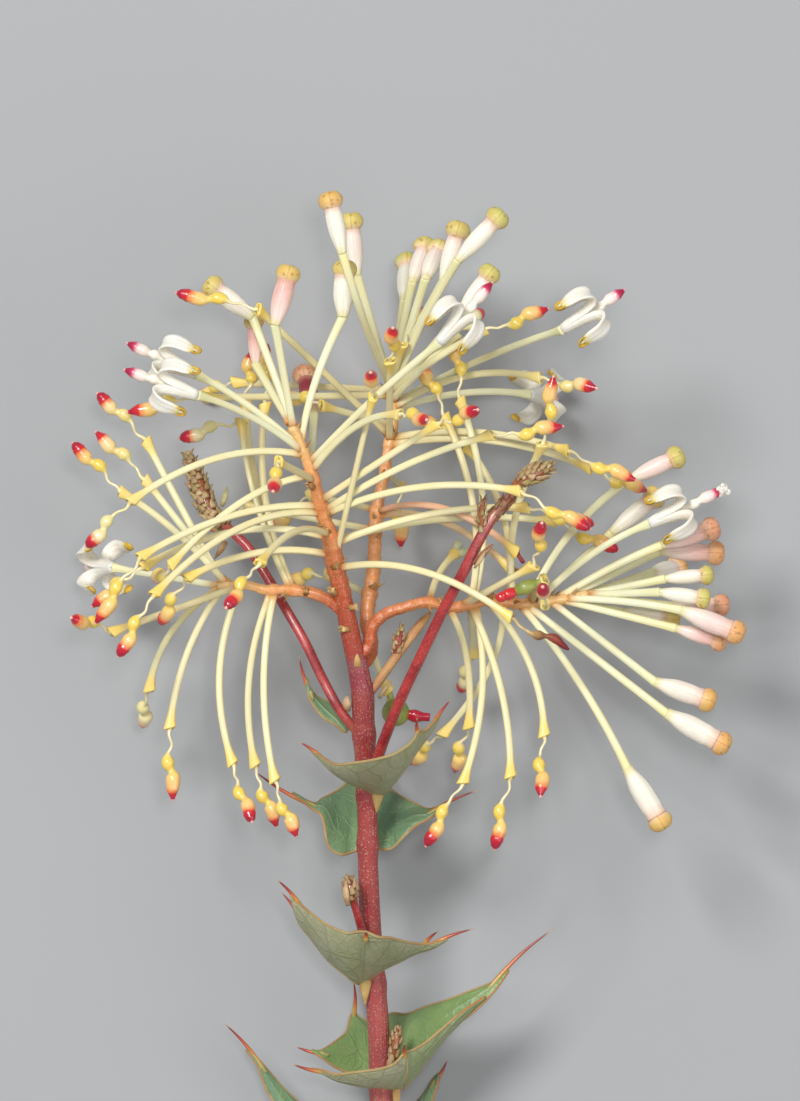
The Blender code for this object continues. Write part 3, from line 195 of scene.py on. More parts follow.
class Nodes:
    # short ways to add nodes to a tree; an input takes a number, a colour or another node's output

    def __init__(self, tree):
        self.tree = tree

    def fill(self, socket, value):
        if isinstance(value, bpy.types.NodeSocket):
            self.tree.links.new(value, socket)
        elif value is not None:
            socket.default_value = (*value, 1.0) if socket.type == "RGBA" else value

    def add(self, kind, inputs=(), out=0, **settings):
        # gives one output of the new node, or all of them where out is None
        node = self.tree.nodes.new("ShaderNode" + kind)
        for name, value in settings.items():
            setattr(node, name, value)
        for label, value in inputs.items() if isinstance(inputs, dict) else enumerate(inputs):
            self.fill(node.inputs[label], value)
        return node.outputs if out is None else node.outputs[out]

    def math(self, operation, *values, clamp=False):
        return self.add("Math", values, operation=operation, use_clamp=clamp)

    def remap(self, value, low, high, newLow=0.0, newHigh=1.0):
        return self.add("MapRange", (value, low, high, newLow, newHigh), interpolation_type="SMOOTHSTEP")

    def mix(self, factor, first, second, kind="MIX"):
        return self.add("Mix", {0: factor, 6: first, 7: second}, 2, data_type="RGBA", blend_type=kind)

    def noise(self, vector, scale, detail):
        form = {"Vector": vector, "Scale": scale, "Detail": detail, "Roughness": 0.55}
        return self.add("TexNoise", form, "Fac")

    def bump(self, height, distance, strength=1.0, normal=None):
        form = {"Height": height, "Distance": distance, "Strength": strength, "Normal": normal}
        return self.add("Bump", form)

    def ramp(self, value, stops):
        colour = self.add("ValToRGB", (value,))
        elements = colour.node.color_ramp.elements
        elements.remove(elements[1])
        elements[0].position = stops[0][0]
        elements[0].color = (*stops[0][1], 1.0)
        for position, shade in stops[1:]:
            elements.new(position).color = (*shade, 1.0)
        return colour

    def surface(self):
        # the piece's own UV: the place along a part, and the turn around it
        split = self.add("SeparateXYZ", (self.add("TexCoord", out="UV"),), None)
        return split["X"], split["Y"]

    def attribute(self, label):
        return self.add("Attribute", out="Fac", attribute_name=label)

    def group(self, tree, values, out=0):
        return self.add("Group", values, out, node_tree=tree)


def newGroup(name, inputs, outputs):
    tree = bpy.data.node_groups.new(name, "ShaderNodeTree")
    for label, value in inputs.items():
        socket = tree.interface.new_socket(name=label, in_out="INPUT", socket_type="NodeSocketFloat")
        socket.default_value = value
    for label in outputs:
        kind = "NodeSocketVector" if label == "Normal" else "NodeSocketFloat"
        tree.interface.new_socket(name=label, in_out="OUTPUT", socket_type=kind)
    return Nodes(tree), tree.nodes.new("NodeGroupInput").outputs, tree.nodes.new("NodeGroupOutput").inputs


def mottleGroup():
    # soft patches and a fine grain on Object coordinates
    inputs = {"Patch Scale": 400.0, "Grain Scale": 4000.0, "Relief": 0.00003}
    nodes, given, out = newGroup("livingMottle", inputs, ("Patches", "Normal"))
    place = nodes.add("TexCoord", out="Object")
    nodes.fill(out["Patches"], nodes.remap(nodes.noise(place, given["Patch Scale"], 2.0), 0.35, 0.65))
    nodes.fill(out["Normal"], nodes.bump(nodes.noise(place, given["Grain Scale"], 3.0), given["Relief"]))
    return nodes.tree


def fibreGroup():
    # fine lines that run along a stalk or stem: noise stretched along the piece's own UV
    nodes, given, out = newGroup("longFibres", {"Lines": 14.0, "Stretch": 2.0}, ("Lines Mask",))
    along, turn = nodes.surface()
    turn = nodes.math("MULTIPLY", turn, fullTurn)
    x, y = (nodes.math("MULTIPLY", nodes.math(kind, turn), given["Lines"]) for kind in ("COSINE", "SINE"))
    place = nodes.add("CombineXYZ", (x, y, nodes.math("MULTIPLY", along, given["Stretch"])))
    nodes.fill(out["Lines Mask"], nodes.remap(nodes.noise(place, 0.5, 2.0), 0.3, 0.7))
    return nodes.tree


def dotGroup():
    # scattered round specks, as lenticels and pale glands
    nodes, given, out = newGroup("paleDots", {"Scale": 1500.0, "Size": 0.25}, ("Dots",))
    place = nodes.add("TexCoord", out="Object")
    cells = nodes.add("TexVoronoi", {"Vector": place, "Scale": given["Scale"]}, None)
    inside = nodes.math("SUBTRACT", given["Size"], cells["Distance"])
    inside = nodes.math("MULTIPLY", inside, 12.0, clamp=True)
    kept = nodes.math("GREATER_THAN", nodes.add("SeparateColor", (cells["Color"],)), 0.25)
    nodes.fill(out["Dots"], nodes.math("MULTIPLY", inside, kept))
    return nodes.tree


mottle = mottleGroup()
fibres = fibreGroup()
dots = dotGroup()
print("shader groups ready")


# Finishes

class Finish(Nodes):
    # a material painted layer by layer; mottling: scale of its patches, of its grain, and relief;
    # lines: number and stretch of its fibres

    def __init__(self, name, rough, mottling, lines=None, coat=0.0, coatRough=0.15, soft=0.0, level=0.5):
        self.material = bpy.data.materials.new(name)
        self.material.use_nodes = True
        super().__init__(self.material.node_tree)
        self.shader = self.tree.nodes["Principled BSDF"].inputs
        values = {"Roughness": rough, "Coat Weight": coat, "Coat Roughness": coatRough,
                  "Specular IOR Level": level, "Subsurface Weight": soft,
                  "Subsurface Radius": (1.0, 0.6, 0.3), "Subsurface Scale": 0.0006}
        for label, value in values.items():
            self.shader[label].default_value = value
        self.base = None
        self.patches, self.relief = self.group(mottle, mottling, None)
        self.lines = self.group(fibres, lines) if lines else None

    def lay(self, factor, colour, share=None, kind="MIX"):
        # one more colour over the base, as strong as factor times share
        factor = factor if share is None else self.math("MULTIPLY", factor, share)
        self.base = self.mix(factor, self.base, colour, kind)

    def tint(self, factor, colour, share=None):
        self.lay(factor, colour, share, "MULTIPLY")

    def seams(self, turn, width):
        # 1 on the four lines where two tepals meet, 0 a little beside them
        quarter = self.math("SINE", self.math("MULTIPLY", turn, 2 * fullTurn))
        return self.remap(self.math("ABSOLUTE", quarter), 0.0, width, 1.0, 0.0)

    def veins(self, place, scale, width, share):
        # the borders of Voronoi cells
        cells = {"Vector": place, "Scale": scale}
        edge = self.add("TexVoronoi", cells, "Distance", feature="DISTANCE_TO_EDGE")
        return self.math("MULTIPLY", self.remap(edge, 0.0, width, 1.0, 0.0), share)

    def done(self, height=None, distance=0.0, strength=1.0):
        relief = self.relief if height is None else self.bump(height, distance, strength, self.relief)
        self.fill(self.shader["Base Color"], self.base)
        self.fill(self.shader["Normal"], relief)
        return self.material


def plainFinish(name, rough, pale, deep, patch, relief, mark=None, spots=None, spotScale=1500.0, coat=0.0,
                soft=0.1):
    # two shades in patches, fibres and grain; where given, a mark where rib is 1 and pale spots
    paint = Finish(name, rough, (patch, patch * 9, relief), (9.0, 4.0), coat=coat, soft=soft)
    paint.base = paint.mix(paint.patches, pale, deep)
    paint.tint(paint.lines, (0.78, 0.72, 0.64), 0.3)
    height = paint.lines
    if mark is not None:
        paint.lay(paint.attribute("rib"), mark)
    if spots is not None:
        specks = paint.group(dots, (spotScale, 0.3))
        paint.lay(specks, spots, 0.5)
        height = paint.math("ADD", height, specks)
    return paint.done(height, relief * 1.5, 0.7)


def stalkFinish():
    # white when young, cream when spent, salmon at tone 1; orange at its foot and yellow at its torus,
    # which is place 1.0, with a tenth less for each millimetre before it
    paint = Finish("stalkIvory", 0.38, (260.0, 5000.0, 0.00002), (6.0, 3.0), coat=0.1, soft=0.12, level=0.45)
    along, _ = paint.surface()
    tone = paint.attribute("tone")
    paint.base = paint.ramp(tone, [(0.0, (0.70, 0.71, 0.48)), (0.35, (0.72, 0.67, 0.38)),
                                   (0.65, (0.72, 0.61, 0.30)), (1.0, (0.78, 0.36, 0.23))])
    paint.lay(paint.patches, (0.74, 0.58, 0.22), 0.3)
    paint.lay(paint.lines, (0.84, 0.82, 0.64), 0.25)
    paint.lay(paint.attribute("rib"), (0.56, 0.22, 0.04))
    aged = paint.math("MULTIPLY", paint.remap(along, 0.72, 0.95), paint.remap(tone, 0.1, 0.5, 0.35, 1.0))
    paint.lay(aged, paint.mix(paint.remap(tone, 0.1, 0.4), (0.66, 0.64, 0.27), (0.82, 0.60, 0.15)))
    return paint.done(paint.lines, 0.00003, 0.6)


def pistilFinish():
    # place 0 torus, 0.4 to 0.6 ovary, 0.6 to 0.85 style, then the red presenter with its pale nub;
    # tone moves the red border down, and rib 1 makes the yellow parts a pale greenish cream
    paint = Finish("pistilYellow", 0.26, (900.0, 6000.0, 0.00002), coat=0.45, coatRough=0.1, soft=0.1)
    along, _ = paint.surface()
    yellow = paint.ramp(along, [
        (0.0, (0.80, 0.62, 0.20)), (0.08, (0.80, 0.72, 0.46)), (0.33, (0.80, 0.70, 0.42)),
        (0.41, (0.81, 0.62, 0.12)), (0.55, (0.80, 0.57, 0.10)), (0.61, (0.83, 0.60, 0.18)),
        (0.78, (0.84, 0.50, 0.19))])
    pale = paint.ramp(along, [
        (0.0, (0.74, 0.62, 0.26)), (0.40, (0.76, 0.70, 0.38)), (0.52, (0.74, 0.70, 0.40)),
        (0.80, (0.78, 0.68, 0.44))])
    paint.base = paint.mix(paint.attribute("rib"), yellow, pale)
    paint.tint(paint.patches, (0.92, 0.76, 0.40), 0.22)
    border = paint.math("ADD", along, paint.math("MULTIPLY", paint.attribute("tone"), 0.085))
    border = paint.math("ADD", border, paint.math("MULTIPLY", paint.patches, 0.022))
    paint.lay(paint.remap(border, 0.81, 0.90, 0.0, 0.95), (0.76, 0.17, 0.05))
    paint.lay(paint.remap(border, 0.88, 0.915), (0.55, 0.014, 0.024))
    paint.lay(paint.remap(border, 0.93, 1.0, 0.0, 0.75), (0.32, 0.004, 0.03))
    paint.lay(paint.remap(along, 0.968, 0.985), (0.80, 0.42, 0.34))
    return paint.done()


def rampFinish(name, rough, mottling, stops, shade, share, **gloss):
    # colours along the part, darkened in soft patches
    paint = Finish(name, rough, mottling, **gloss)
    paint.base = paint.ramp(paint.surface()[0], stops)
    paint.tint(paint.patches, shade, share)
    return paint.done()


def tubeFinish():
    # four joined tepals, white at tone 0, pink at 0.5 and maroon at 1, paler and greener to the torus
    paint = Finish("budTube", 0.4, (500.0, 4500.0, 0.00003), (7.0, 1.6), coat=0.1, soft=0.15, level=0.45)
    along, turn = paint.surface()
    depth = paint.math("MULTIPLY", paint.attribute("tone"), paint.remap(along, 0.1, 0.8, 0.5, 1.0))
    depth = paint.math("ADD", depth, paint.math("MULTIPLY", paint.patches, 0.06))
    paint.base = paint.ramp(depth, [
        (0.0, (0.82, 0.81, 0.68)), (0.12, (0.84, 0.79, 0.68)), (0.3, (0.84, 0.66, 0.60)),
        (0.5, (0.80, 0.50, 0.44)), (0.75, (0.50, 0.12, 0.12)), (1.0, (0.28, 0.03, 0.045))])
    paint.lay(paint.remap(along, 0.0, 0.22, 0.75, 0.0), (0.68, 0.62, 0.26))
    paint.lay(paint.remap(along, 0.78, 1.0, 0.0, 0.6), (0.74, 0.38, 0.24))
    paint.tint(paint.lines, (0.94, 0.86, 0.80), 0.3)
    seam = paint.seams(turn, 0.12)
    paint.tint(seam, (0.80, 0.62, 0.56), 0.4)
    return paint.done(paint.math("SUBTRACT", paint.lines, seam), 0.00004, 0.6)


def ballFinish():
    # tone 0 yellow-green, 0.5 gold, 1 dusty pink; paler to the neck, with creases, specks and brown spots
    paint = Finish("budLimb", 0.5, (1100.0, 5000.0, 0.00005), soft=0.05)
    along, turn = paint.surface()
    specks = paint.group(dots, (4200.0, 0.25))
    paint.base = paint.ramp(paint.attribute("tone"), [
        (0.0, (0.54, 0.52, 0.15)), (0.35, (0.66, 0.52, 0.16)), (0.6, (0.72, 0.42, 0.14)),
        (0.8, (0.70, 0.36, 0.16)), (1.0, (0.62, 0.30, 0.20))])
    paint.lay(paint.remap(along, 0.05, 0.42, 0.65, 0.0), (0.84, 0.62, 0.46))
    crease = paint.seams(turn, 0.2)
    paint.tint(crease, (0.55, 0.42, 0.28), 0.4)
    paint.tint(paint.patches, (1.0, 0.76, 0.50), 0.5)
    paint.lay(specks, (0.78, 0.68, 0.38), 0.4)
    paint.lay(paint.group(dots, (1500.0, 0.3)), (0.28, 0.14, 0.05), 0.5)
    paint.tint(paint.remap(along, 0.78, 1.0, 0.0, 0.5), (0.55, 0.36, 0.24))
    return paint.done(paint.math("SUBTRACT", specks, crease), 0.00004, 0.7)


def rachisFinish():
    # orange-brown with pale specks, brick red like the stem's top where rib is 1, yellower at tone 1 and
    # cream at tone 2
    paint = Finish("rachisOrange", 0.36, (800.0, 3000.0, 0.00007), (9.0, 40.0), coat=0.3, coatRough=0.25,
                   soft=0.1)
    specks = paint.group(dots, (3900.0, 0.34))
    tone = paint.attribute("tone")
    paint.base = paint.mix(paint.patches, (0.76, 0.32, 0.11), (0.68, 0.22, 0.06))
    paint.lay(paint.remap(tone, 0.0, 1.0), (0.76, 0.44, 0.16))
    paint.lay(paint.remap(tone, 1.0, 2.0), (0.74, 0.56, 0.27))
    paint.lay(paint.attribute("rib"), (0.46, 0.075, 0.022))
    paint.tint(paint.lines, (0.66, 0.52, 0.44), 0.22)
    paint.lay(specks, (0.80, 0.52, 0.26), 0.45)
    return paint.done(paint.math("ADD", paint.lines, specks), 0.00005, 0.7)


def scaleFinish():
    # tone 0 red-brown, 0.3 brown, 0.5 olive, 0.75 pinkish beige, 1 pale green-cream; darker at its root
    paint = Finish("budScale", 0.55, (1500.0, 6000.0, 0.00005), (6.0, 1.5))
    along, _ = paint.surface()
    paint.base = paint.ramp(paint.attribute("tone"), [
        (0.0, (0.24, 0.035, 0.02)), (0.3, (0.34, 0.15, 0.045)), (0.5, (0.40, 0.30, 0.09)),
        (0.75, (0.58, 0.36, 0.20)), (1.0, (0.56, 0.55, 0.26))])
    paint.tint(paint.patches, (0.55, 0.42, 0.36), 0.6)
    paint.lay(paint.lines, (0.66, 0.54, 0.36), 0.3)
    paint.tint(paint.remap(along, 0.0, 0.4, 0.45, 0.0), (0.45, 0.30, 0.22))
    return paint.done(paint.lines, 0.00006, 0.8)


def stemFinish():
    # crimson bark, pinker below, brick red at the top, mauve where rib is 1, with dense small pale dots
    paint = Finish("stemBark", 0.45, (600.0, 3500.0, 0.00005), (10.0, 30.0), coat=0.08, coatRough=0.3)
    along, _ = paint.surface()
    specks = paint.group(dots, (4000.0, 0.4))
    paint.base = paint.ramp(along, [
        (0.0, (0.56, 0.46, 0.28)), (0.004, (0.50, 0.40, 0.22)), (0.006, (0.40, 0.095, 0.085)),
        (0.25, (0.38, 0.07, 0.07)), (0.45, (0.33, 0.04, 0.04)), (0.75, (0.31, 0.036, 0.038)),
        (0.87, (0.28, 0.04, 0.055)), (0.905, (0.35, 0.038, 0.02)), (1.0, (0.46, 0.085, 0.02))])
    paint.lay(paint.patches, (0.44, 0.085, 0.06), 0.35)
    paint.lay(paint.attribute("rib"), (0.28, 0.075, 0.10))
    paint.tint(paint.lines, (0.66, 0.52, 0.50), 0.3)
    paint.lay(specks, (0.64, 0.36, 0.27), paint.remap(along, 0.87, 0.91, 0.42, 0.25))
    return paint.done(paint.math("ADD", paint.lines, specks), 0.00007, 0.8)


def leafFinish():
    # tone 0 olive underside, 0.5 yellow-green, 1 bluish upper face; rib 1 on the main veins, with a net of
    # fine ones between them, paler on the upper face and a little darker on the underside
    paint = Finish("leafBlade", 0.42, (220.0, 3200.0, 0.00004), coat=0.1, coatRough=0.35)
    place = paint.add("TexCoord", out="Object")
    wobble = paint.add("TexNoise", {"Vector": place, "Scale": 500.0}, "Color")
    bent = paint.add("VectorMath", (wobble, (0.0009, 0.0009, 0.0009), place), operation="MULTIPLY_ADD")
    net = paint.math("MAXIMUM", paint.veins(bent, 1100.0, 0.08, 0.4), paint.veins(bent, 300.0, 0.05, 0.7))
    veins = paint.math("MAXIMUM", net, paint.attribute("rib"))
    tone = paint.attribute("tone")
    paint.base = paint.mix(paint.patches, (0.285, 0.300, 0.150), (0.335, 0.335, 0.200))
    warm = paint.mix(paint.patches, (0.150, 0.255, 0.070), (0.195, 0.290, 0.092))
    upper = paint.mix(paint.patches, (0.110, 0.210, 0.112), (0.160, 0.260, 0.128))
    paint.lay(paint.remap(tone, 0.0, 0.5), warm)
    paint.lay(paint.remap(tone, 0.5, 1.0), upper)
    paint.lay(veins, paint.mix(tone, (0.13, 0.14, 0.06), (0.25, 0.33, 0.16)), 0.5)
    return paint.done(veins, 0.00008, 0.8)


finishes = {
    "stalk": stalkFinish(),
    "pistil": pistilFinish(),
    # white pistil of an open flower, blushing to a magenta tip
    "whitePistil": rampFinish("pistilWhite", 0.3, (600.0, 6000.0, 0.00002), [
        (0.0, (0.78, 0.66, 0.30)), (0.1, (0.84, 0.80, 0.62)), (0.5, (0.86, 0.82, 0.68)),
        (0.70, (0.86, 0.77, 0.68)), (0.83, (0.84, 0.62, 0.58)), (0.885, (0.54, 0.03, 0.11)),
        (0.93, (0.36, 0.008, 0.05)), (0.97, (0.32, 0.006, 0.04)), (0.99, (0.80, 0.50, 0.46))],
        (0.92, 0.86, 0.76), 0.15, coat=0.35, soft=0.12),
    "tube": tubeFinish(),
    "ball": ballFinish(),
    "tepal": plainFinish("tepalWhite", 0.4, (0.86, 0.85, 0.77), (0.85, 0.80, 0.70), 500.0, 0.00003,
                         mark=(0.80, 0.60, 0.12), soft=0.2),
    "anther": plainFinish("antherGold", 0.5, (0.72, 0.47, 0.05), (0.58, 0.33, 0.04), 1200.0, 0.00005,
                          mark=(0.80, 0.72, 0.40)),
    "fruit": plainFinish("fruitGreen", 0.34, (0.20, 0.26, 0.04), (0.32, 0.34, 0.07), 900.0, 0.00003,
                         mark=(0.50, 0.40, 0.10), coat=0.35),
    "rachis": rachisFinish(),
    "bract": plainFinish("bractBrown", 0.55, (0.44, 0.17, 0.045), (0.50, 0.27, 0.08), 900.0, 0.00005,
                         mark=(0.76, 0.50, 0.22)),
    # cream stipe, tan ovary, brown-red style and dark red tip along a shrivelled pistil
    "withered": rampFinish("pistilWithered", 0.5, (1100.0, 5000.0, 0.00006), [
        (0.0, (0.66, 0.54, 0.26)), (0.3, (0.60, 0.46, 0.22)), (0.42, (0.44, 0.27, 0.09)),
        (0.56, (0.26, 0.12, 0.04)), (0.68, (0.28, 0.06, 0.03)), (0.9, (0.24, 0.014, 0.02)),
        (1.0, (0.18, 0.01, 0.016))], (0.50, 0.34, 0.26), 0.6),
    "greenLobe": plainFinish("lobePaleGreen", 0.45, (0.52, 0.56, 0.34), (0.62, 0.62, 0.42), 700.0, 0.00003),
    "stem": stemFinish(),
    "shoot": plainFinish("shootCrimson", 0.26, (0.42, 0.035, 0.035), (0.27, 0.014, 0.02), 500.0, 0.00003,
                         mark=(0.32, 0.10, 0.035), spots=(0.60, 0.22, 0.16), spotScale=4700.0, coat=0.5),
    "tan": plainFinish("shootTan", 0.5, (0.54, 0.30, 0.12), (0.46, 0.22, 0.08), 600.0, 0.00004,
                       mark=(0.34, 0.06, 0.05), spots=(0.66, 0.46, 0.24), spotScale=4200.0),
    "scale": scaleFinish(),
    "leaf": leafFinish(),
    # olive-yellow foot like the margin, orange, red, and a dark horny point with a pale end
    "spine": rampFinish("leafSpine", 0.35, (900.0, 6000.0, 0.00002), [
        (0.0, (0.34, 0.29, 0.09)), (0.15, (0.50, 0.28, 0.05)), (0.35, (0.50, 0.13, 0.03)),
        (0.6, (0.34, 0.035, 0.018)), (0.85, (0.20, 0.02, 0.014)), (0.97, (0.50, 0.34, 0.20))],
        (0.7, 0.6, 0.5), 0.3, coat=0.2),
    "margin": plainFinish("leafMargin", 0.45, (0.46, 0.37, 0.16), (0.42, 0.28, 0.12), 500.0, 0.00003,
                          mark=(0.48, 0.16, 0.035)),
    "leafBase": plainFinish("leafBaseYellow", 0.45, (0.56, 0.40, 0.14), (0.48, 0.27, 0.09), 600.0, 0.00003),
}
flowerSlots = ["rachis", "stalk", "pistil", "whitePistil", "tube", "ball", "tepal", "anther", "fruit",
               "bract", "withered", "greenLobe"]
stemSlots = ["stem", "shoot", "tan", "scale", "leafBase"]
leafSlots = ["leaf", "spine", "margin"]
print("finishes ready:", len(finishes))


# The stem, its side shoots and their buds

# nodes: y of the swollen rings where leaves and shoots leave; clasps: yellow bases of the leaves that clasp
# the stem, and of one bract
stemPiece = {
    "line": [
        (-1.5, -49, 1.2), (-1.9, -39.9, 1.15), (-2.1, -34, 1.1), (-2.8, -25, 1.05), (-3.1, -20, 1.05),
        (-3.2, -16.5, 1), (-3.3, -10, 1), (-3.65, -2.2, 1.1), (-3.75, 0.6, 1.14),
    ],
    "top": [
        (-4, 2.2, 20.2, 1.07), (-4.6, 5, 20.8, 0.98), (-5.25, 8, 21.4, 0.94), (-5.75, 10.55, 21.95, 0.82),
    ],
    "height": 20, "slopeStart": 1, "slope": 0.22, "nodes": [-47.5, -38.5, -28.5, -14.5, -9.5, -3.5],
    "swelling": 0.16, "swellingLength": 0.9, "sides": 28, "ridges": 7, "ridgeDepth": 0.018, "mauveRing": 3.7,
    "mauveLength": 0.45,
    "clasps": [
        [
            (-2.25, -8.9, 18.9, 0.6), (-2.25, -9.5, 18.7, 0.62), (-2.3, -10.3, 18.35, 0.4),
            (-2.35, -11.3, 18, 0.06),
        ],
        [
            (-3.5, -27.7, 15.3, 0.6), (-3.5, -28.5, 14.9, 0.62), (-3.5, -29.5, 14.55, 0.4),
            (-3.5, -30.7, 14.1, 0.06),
        ],
        [
            (-0.35, -38.8, 12.8, 0.35), (-0.35, -39.6, 12.4, 0.42), (-0.4, -40.5, 12, 0.3),
            (-0.6, -41.3, 11.5, 0.06),
        ],
        [
            (-4.25, 3.35, 21.3, 0.38), (-4.25, 3.8, 21.55, 0.36), (-4.3, 4.4, 21.62, 0.2),
            (-4.35, 4.9, 21.6, 0.05),
        ],
    ],
}
shoots = {
    "right": [
        (-3, -8.5, 18.5, 0.5), (-2, -5.1, 20.5, 0.55), (0.1, 0.2, 22.5, 0.55), (2.4, 5.1, 24.5, 0.55),
        (4.3, 9, 25.6, 0.55), (6.3, 12.8, 26.7, 0.55), (8.2, 16.6, 27, 0.55), (9.1, 18.1, 27, 0.55),
        (11, 20.4, 27, 0.5), (12, 21.8, 27.8, 0.55), (13.3, 22.6, 28.2, 0.8), (14.9, 23.3, 28.5, 0.3),
    ],
    "rightSide": [(8.3, 16.6, 27, 0.35), (8.1, 18.4, 27.6, 0.35), (8.3, 20.2, 28.2, 0.15)],
    "left": [
        (-4, -3.6, 19.2, 0.45), (-5.9, -1.2, 19.3, 0.5), (-7.6, 1.8, 18.7, 0.5), (-9.6, 5.9, 18, 0.5),
        (-11.7, 9.5, 17, 0.5), (-13.6, 12.7, 16, 0.5), (-15.4, 15.4, 15, 0.5), (-17.4, 17.3, 14.5, 0.5),
        (-18.9, 18.6, 14.2, 0.7), (-20.2, 21.3, 14, 0.8), (-21.3, 24.5, 14, 0.25),
    ],
    "tan": [
        (-3.5, 0, 20, 0.4), (-2.2, 1.8, 19.6, 0.45), (0.4, 5.4, 18.9, 0.45), (2.4, 8, 18.3, 0.4),
        (3.1, 8.8, 18, 0.2),
    ],
    "tanSide": [(-0.4, 4.4, 19.1, 0.3), (-0.2, 5.9, 19.4, 0.45), (0.2, 7.3, 19.5, 0.12)],
    "upperAxil": [
        (-3, -27, 13.8, 0.4), (-3.4, -25, 15.2, 0.45), (-3.9, -22.8, 17, 0.45), (-4.7, -20, 18.2, 0.45),
        (-4.9, -19, 18.5, 0.65), (-5.1, -17.9, 18.6, 0.2),
    ],
    "lowerAxil": [
        (-1.9, -38.8, 11.4, 0.3), (-0.8, -36.5, 13, 0.35), (-0.4, -34.2, 13.6, 0.45),
        (-0.2, -33, 13.8, 0.15),
    ],
}
# overlapping bud scales: shoot, first and last point of its line, count, length, half width, spread, tones
budScales = [
    ("right", 7, 9, 26, 0.9, 0.32, 0.4, (0, 0.3, 0.1)),
    ("right", 9, 11, 46, 0.9, 0.44, 0.8, (0.42, 0.6, 0.5, 0.78)),
    ("rightSide", 0, 2, 18, 0.8, 0.26, 0.7, (0.5, 0.9, 0.3)),
    ("left", 7, 10, 84, 0.85, 0.5, 1, (0.6, 0.42, 0.55, 0.7, 0.48, 0.85)),
    ("tanSide", 0, 2, 18, 0.7, 0.34, 0.5, (0.45, 0.6, 0.55)),
    ("upperAxil", 3, 5, 30, 0.8, 0.4, 0.4, (0.62, 0.35, 0.72)),
    ("lowerAxil", 1, 3, 22, 0.8, 0.34, 0.4, (0.72, 0.62, 0.4)),
]
scaleForm = {"steps": 8, "sides": 8, "flat": 0.6, "cup": -0.3, "shorter": 0.35, "narrower": 0.3}
# single bracts and small buds: points with their half widths, and the tone of their finish
bracts = [
    ([(-17.9, 19.4, 14.9, 0.2), (-17.6, 20.2, 15.2, 0.32), (-17.3, 21.4, 15, 0.05)], 1),
    ([(-17.5, 15.9, 15.2, 0.25), (-18, 15, 15.3, 0.32), (-18.6, 14.1, 15, 0.05)], 0.35),
    ([(-8.8, 4.5, 18.4, 0.14), (-9.2, 5.2, 18.4, 0.34), (-9.7, 6, 18.1, 0.08)], 0.62),
    ([(-5.2, -1.1, 19.8, 0.25), (-5.3, -0.4, 20.2, 0.46), (-5.3, 0.4, 20.2, 0.16)], 0.72),
    ([(7.3, 13.6, 27.2, 0.2), (8.3, 14.6, 27.6, 0.34), (9.3, 15.6, 27.6, 0.07)], 0.12),
    ([(7.4, 13.2, 27.4, 0.12), (8, 14, 27.8, 0.22), (8.5, 14.9, 28, 0.05)], 0.8),
    ([(-2.1, 0.2, 20.2, 0.16), (-1.5, 1.1, 20.4, 0.22), (-0.8, 2, 20.3, 0.05)], 0.55),
    ([(-5.2, -20.6, 18.9, 0.2), (-5.4, -19.4, 19.2, 0.34), (-5.4, -18.1, 19.2, 0.1)], 0.68),
    ([(-1.3, -37.3, 13.2, 0.2), (-1, -36.4, 13.6, 0.3), (-0.8, -35.4, 13.7, 0.06)], 0.7),
]


def stemLine():
    line = [(x, y, stemPiece["height"] - (stemPiece["slopeStart"] - y) * stemPiece["slope"], radius)
            for x, y, radius in stemPiece["line"]]
    return line + stemPiece["top"]


def roundEnds(radii, along, tipLength=0.25):
    # a quarter-round fall of the radius over the last stretch, so an end isn't a flat disc
    left = np.clip((along[-1] - along) / tipLength, 0.0, 1.0)
    return radii * np.sqrt(np.maximum(1 - (1 - left) ** 2, 0.01))


def shootPart(name, line):
    # rib 1 at its foot and under its scales, where the finish takes its second colour
    run, along = pathThrough(line, 0.35)
    scaled = min([row[1] for row in budScales if row[0] == name], default=-1)
    start = lengthsAlong(np.asarray(line, float))[scaled]
    brown = np.maximum(np.exp(-(along / 1.6) ** 2), np.clip((along - start) / 0.8 + 0.5, 0.0, 1.0))
    return sweep(run[:, :3], roundEnds(run[:, 3], along), 16, "tan" if "tan" in name else "shoot",
                 along=along * 0.02, lobes=5, depth=0.02, rib=brown)


def scaleParts(name, first, last, count, length, width, spread, tones):
    # pointed scales by the golden angle, hugging the bud, their tips out by the spread
    run, along = pathThrough(shoots[name], 0.1)
    keys = lengthsAlong(np.asarray(shoots[name], float))
    tangent, side, up = ringFrames(run[:, :3])
    t = np.linspace(0.0, 1.0, scaleForm["steps"])[:, None]
    parts = []
    for number in range(count):
        share = (number + 0.3) / count
        reached = keys[first] + (keys[last] - keys[first]) * share
        place = int(np.clip(np.searchsorted(along, reached), 0, len(run) - 1))
        vary = ((number * number * 3) % 7) / 6
        outward = around(side[place], up[place], number * goldenTurn + vary * 0.7)
        reach = length * (1.0 - scaleForm["shorter"] * share) * (0.75 + 0.5 * vary)
        lift = (0.82 + 0.3 * vary) * run[place, 3] + (0.06 * t + 0.26 * t ** 3) * spread * (0.4 + 1.2 * vary)
        wide = width * (1.0 - scaleForm["narrower"] * share) * (1.15 - 0.3 * vary)
        path = run[place, :3] + outward * lift + tangent[place] * (t * reach)
        radii = wide * np.sqrt(np.clip(1 - t[:, 0] ** 1.5, 0.012, 1.0))
        parts.append(sweep(path, radii, scaleForm["sides"], "scale", along=t[:, 0], flat=scaleForm["flat"],
                           cup=scaleForm["cup"], across=np.cross(tangent[place], outward),
                           tone=tones[number % len(tones)]))
    return parts


def bractPart(line, tone, slot="scale", sides=10):
    run, along = pathThrough(line, 0.12)
    place = along * 0.1 if slot == "leafBase" else along / along[-1]
    return sweep(run[:, :3], run[:, 3], sides, slot, along=place, flat=0.5, tone=tone, across=sideways)


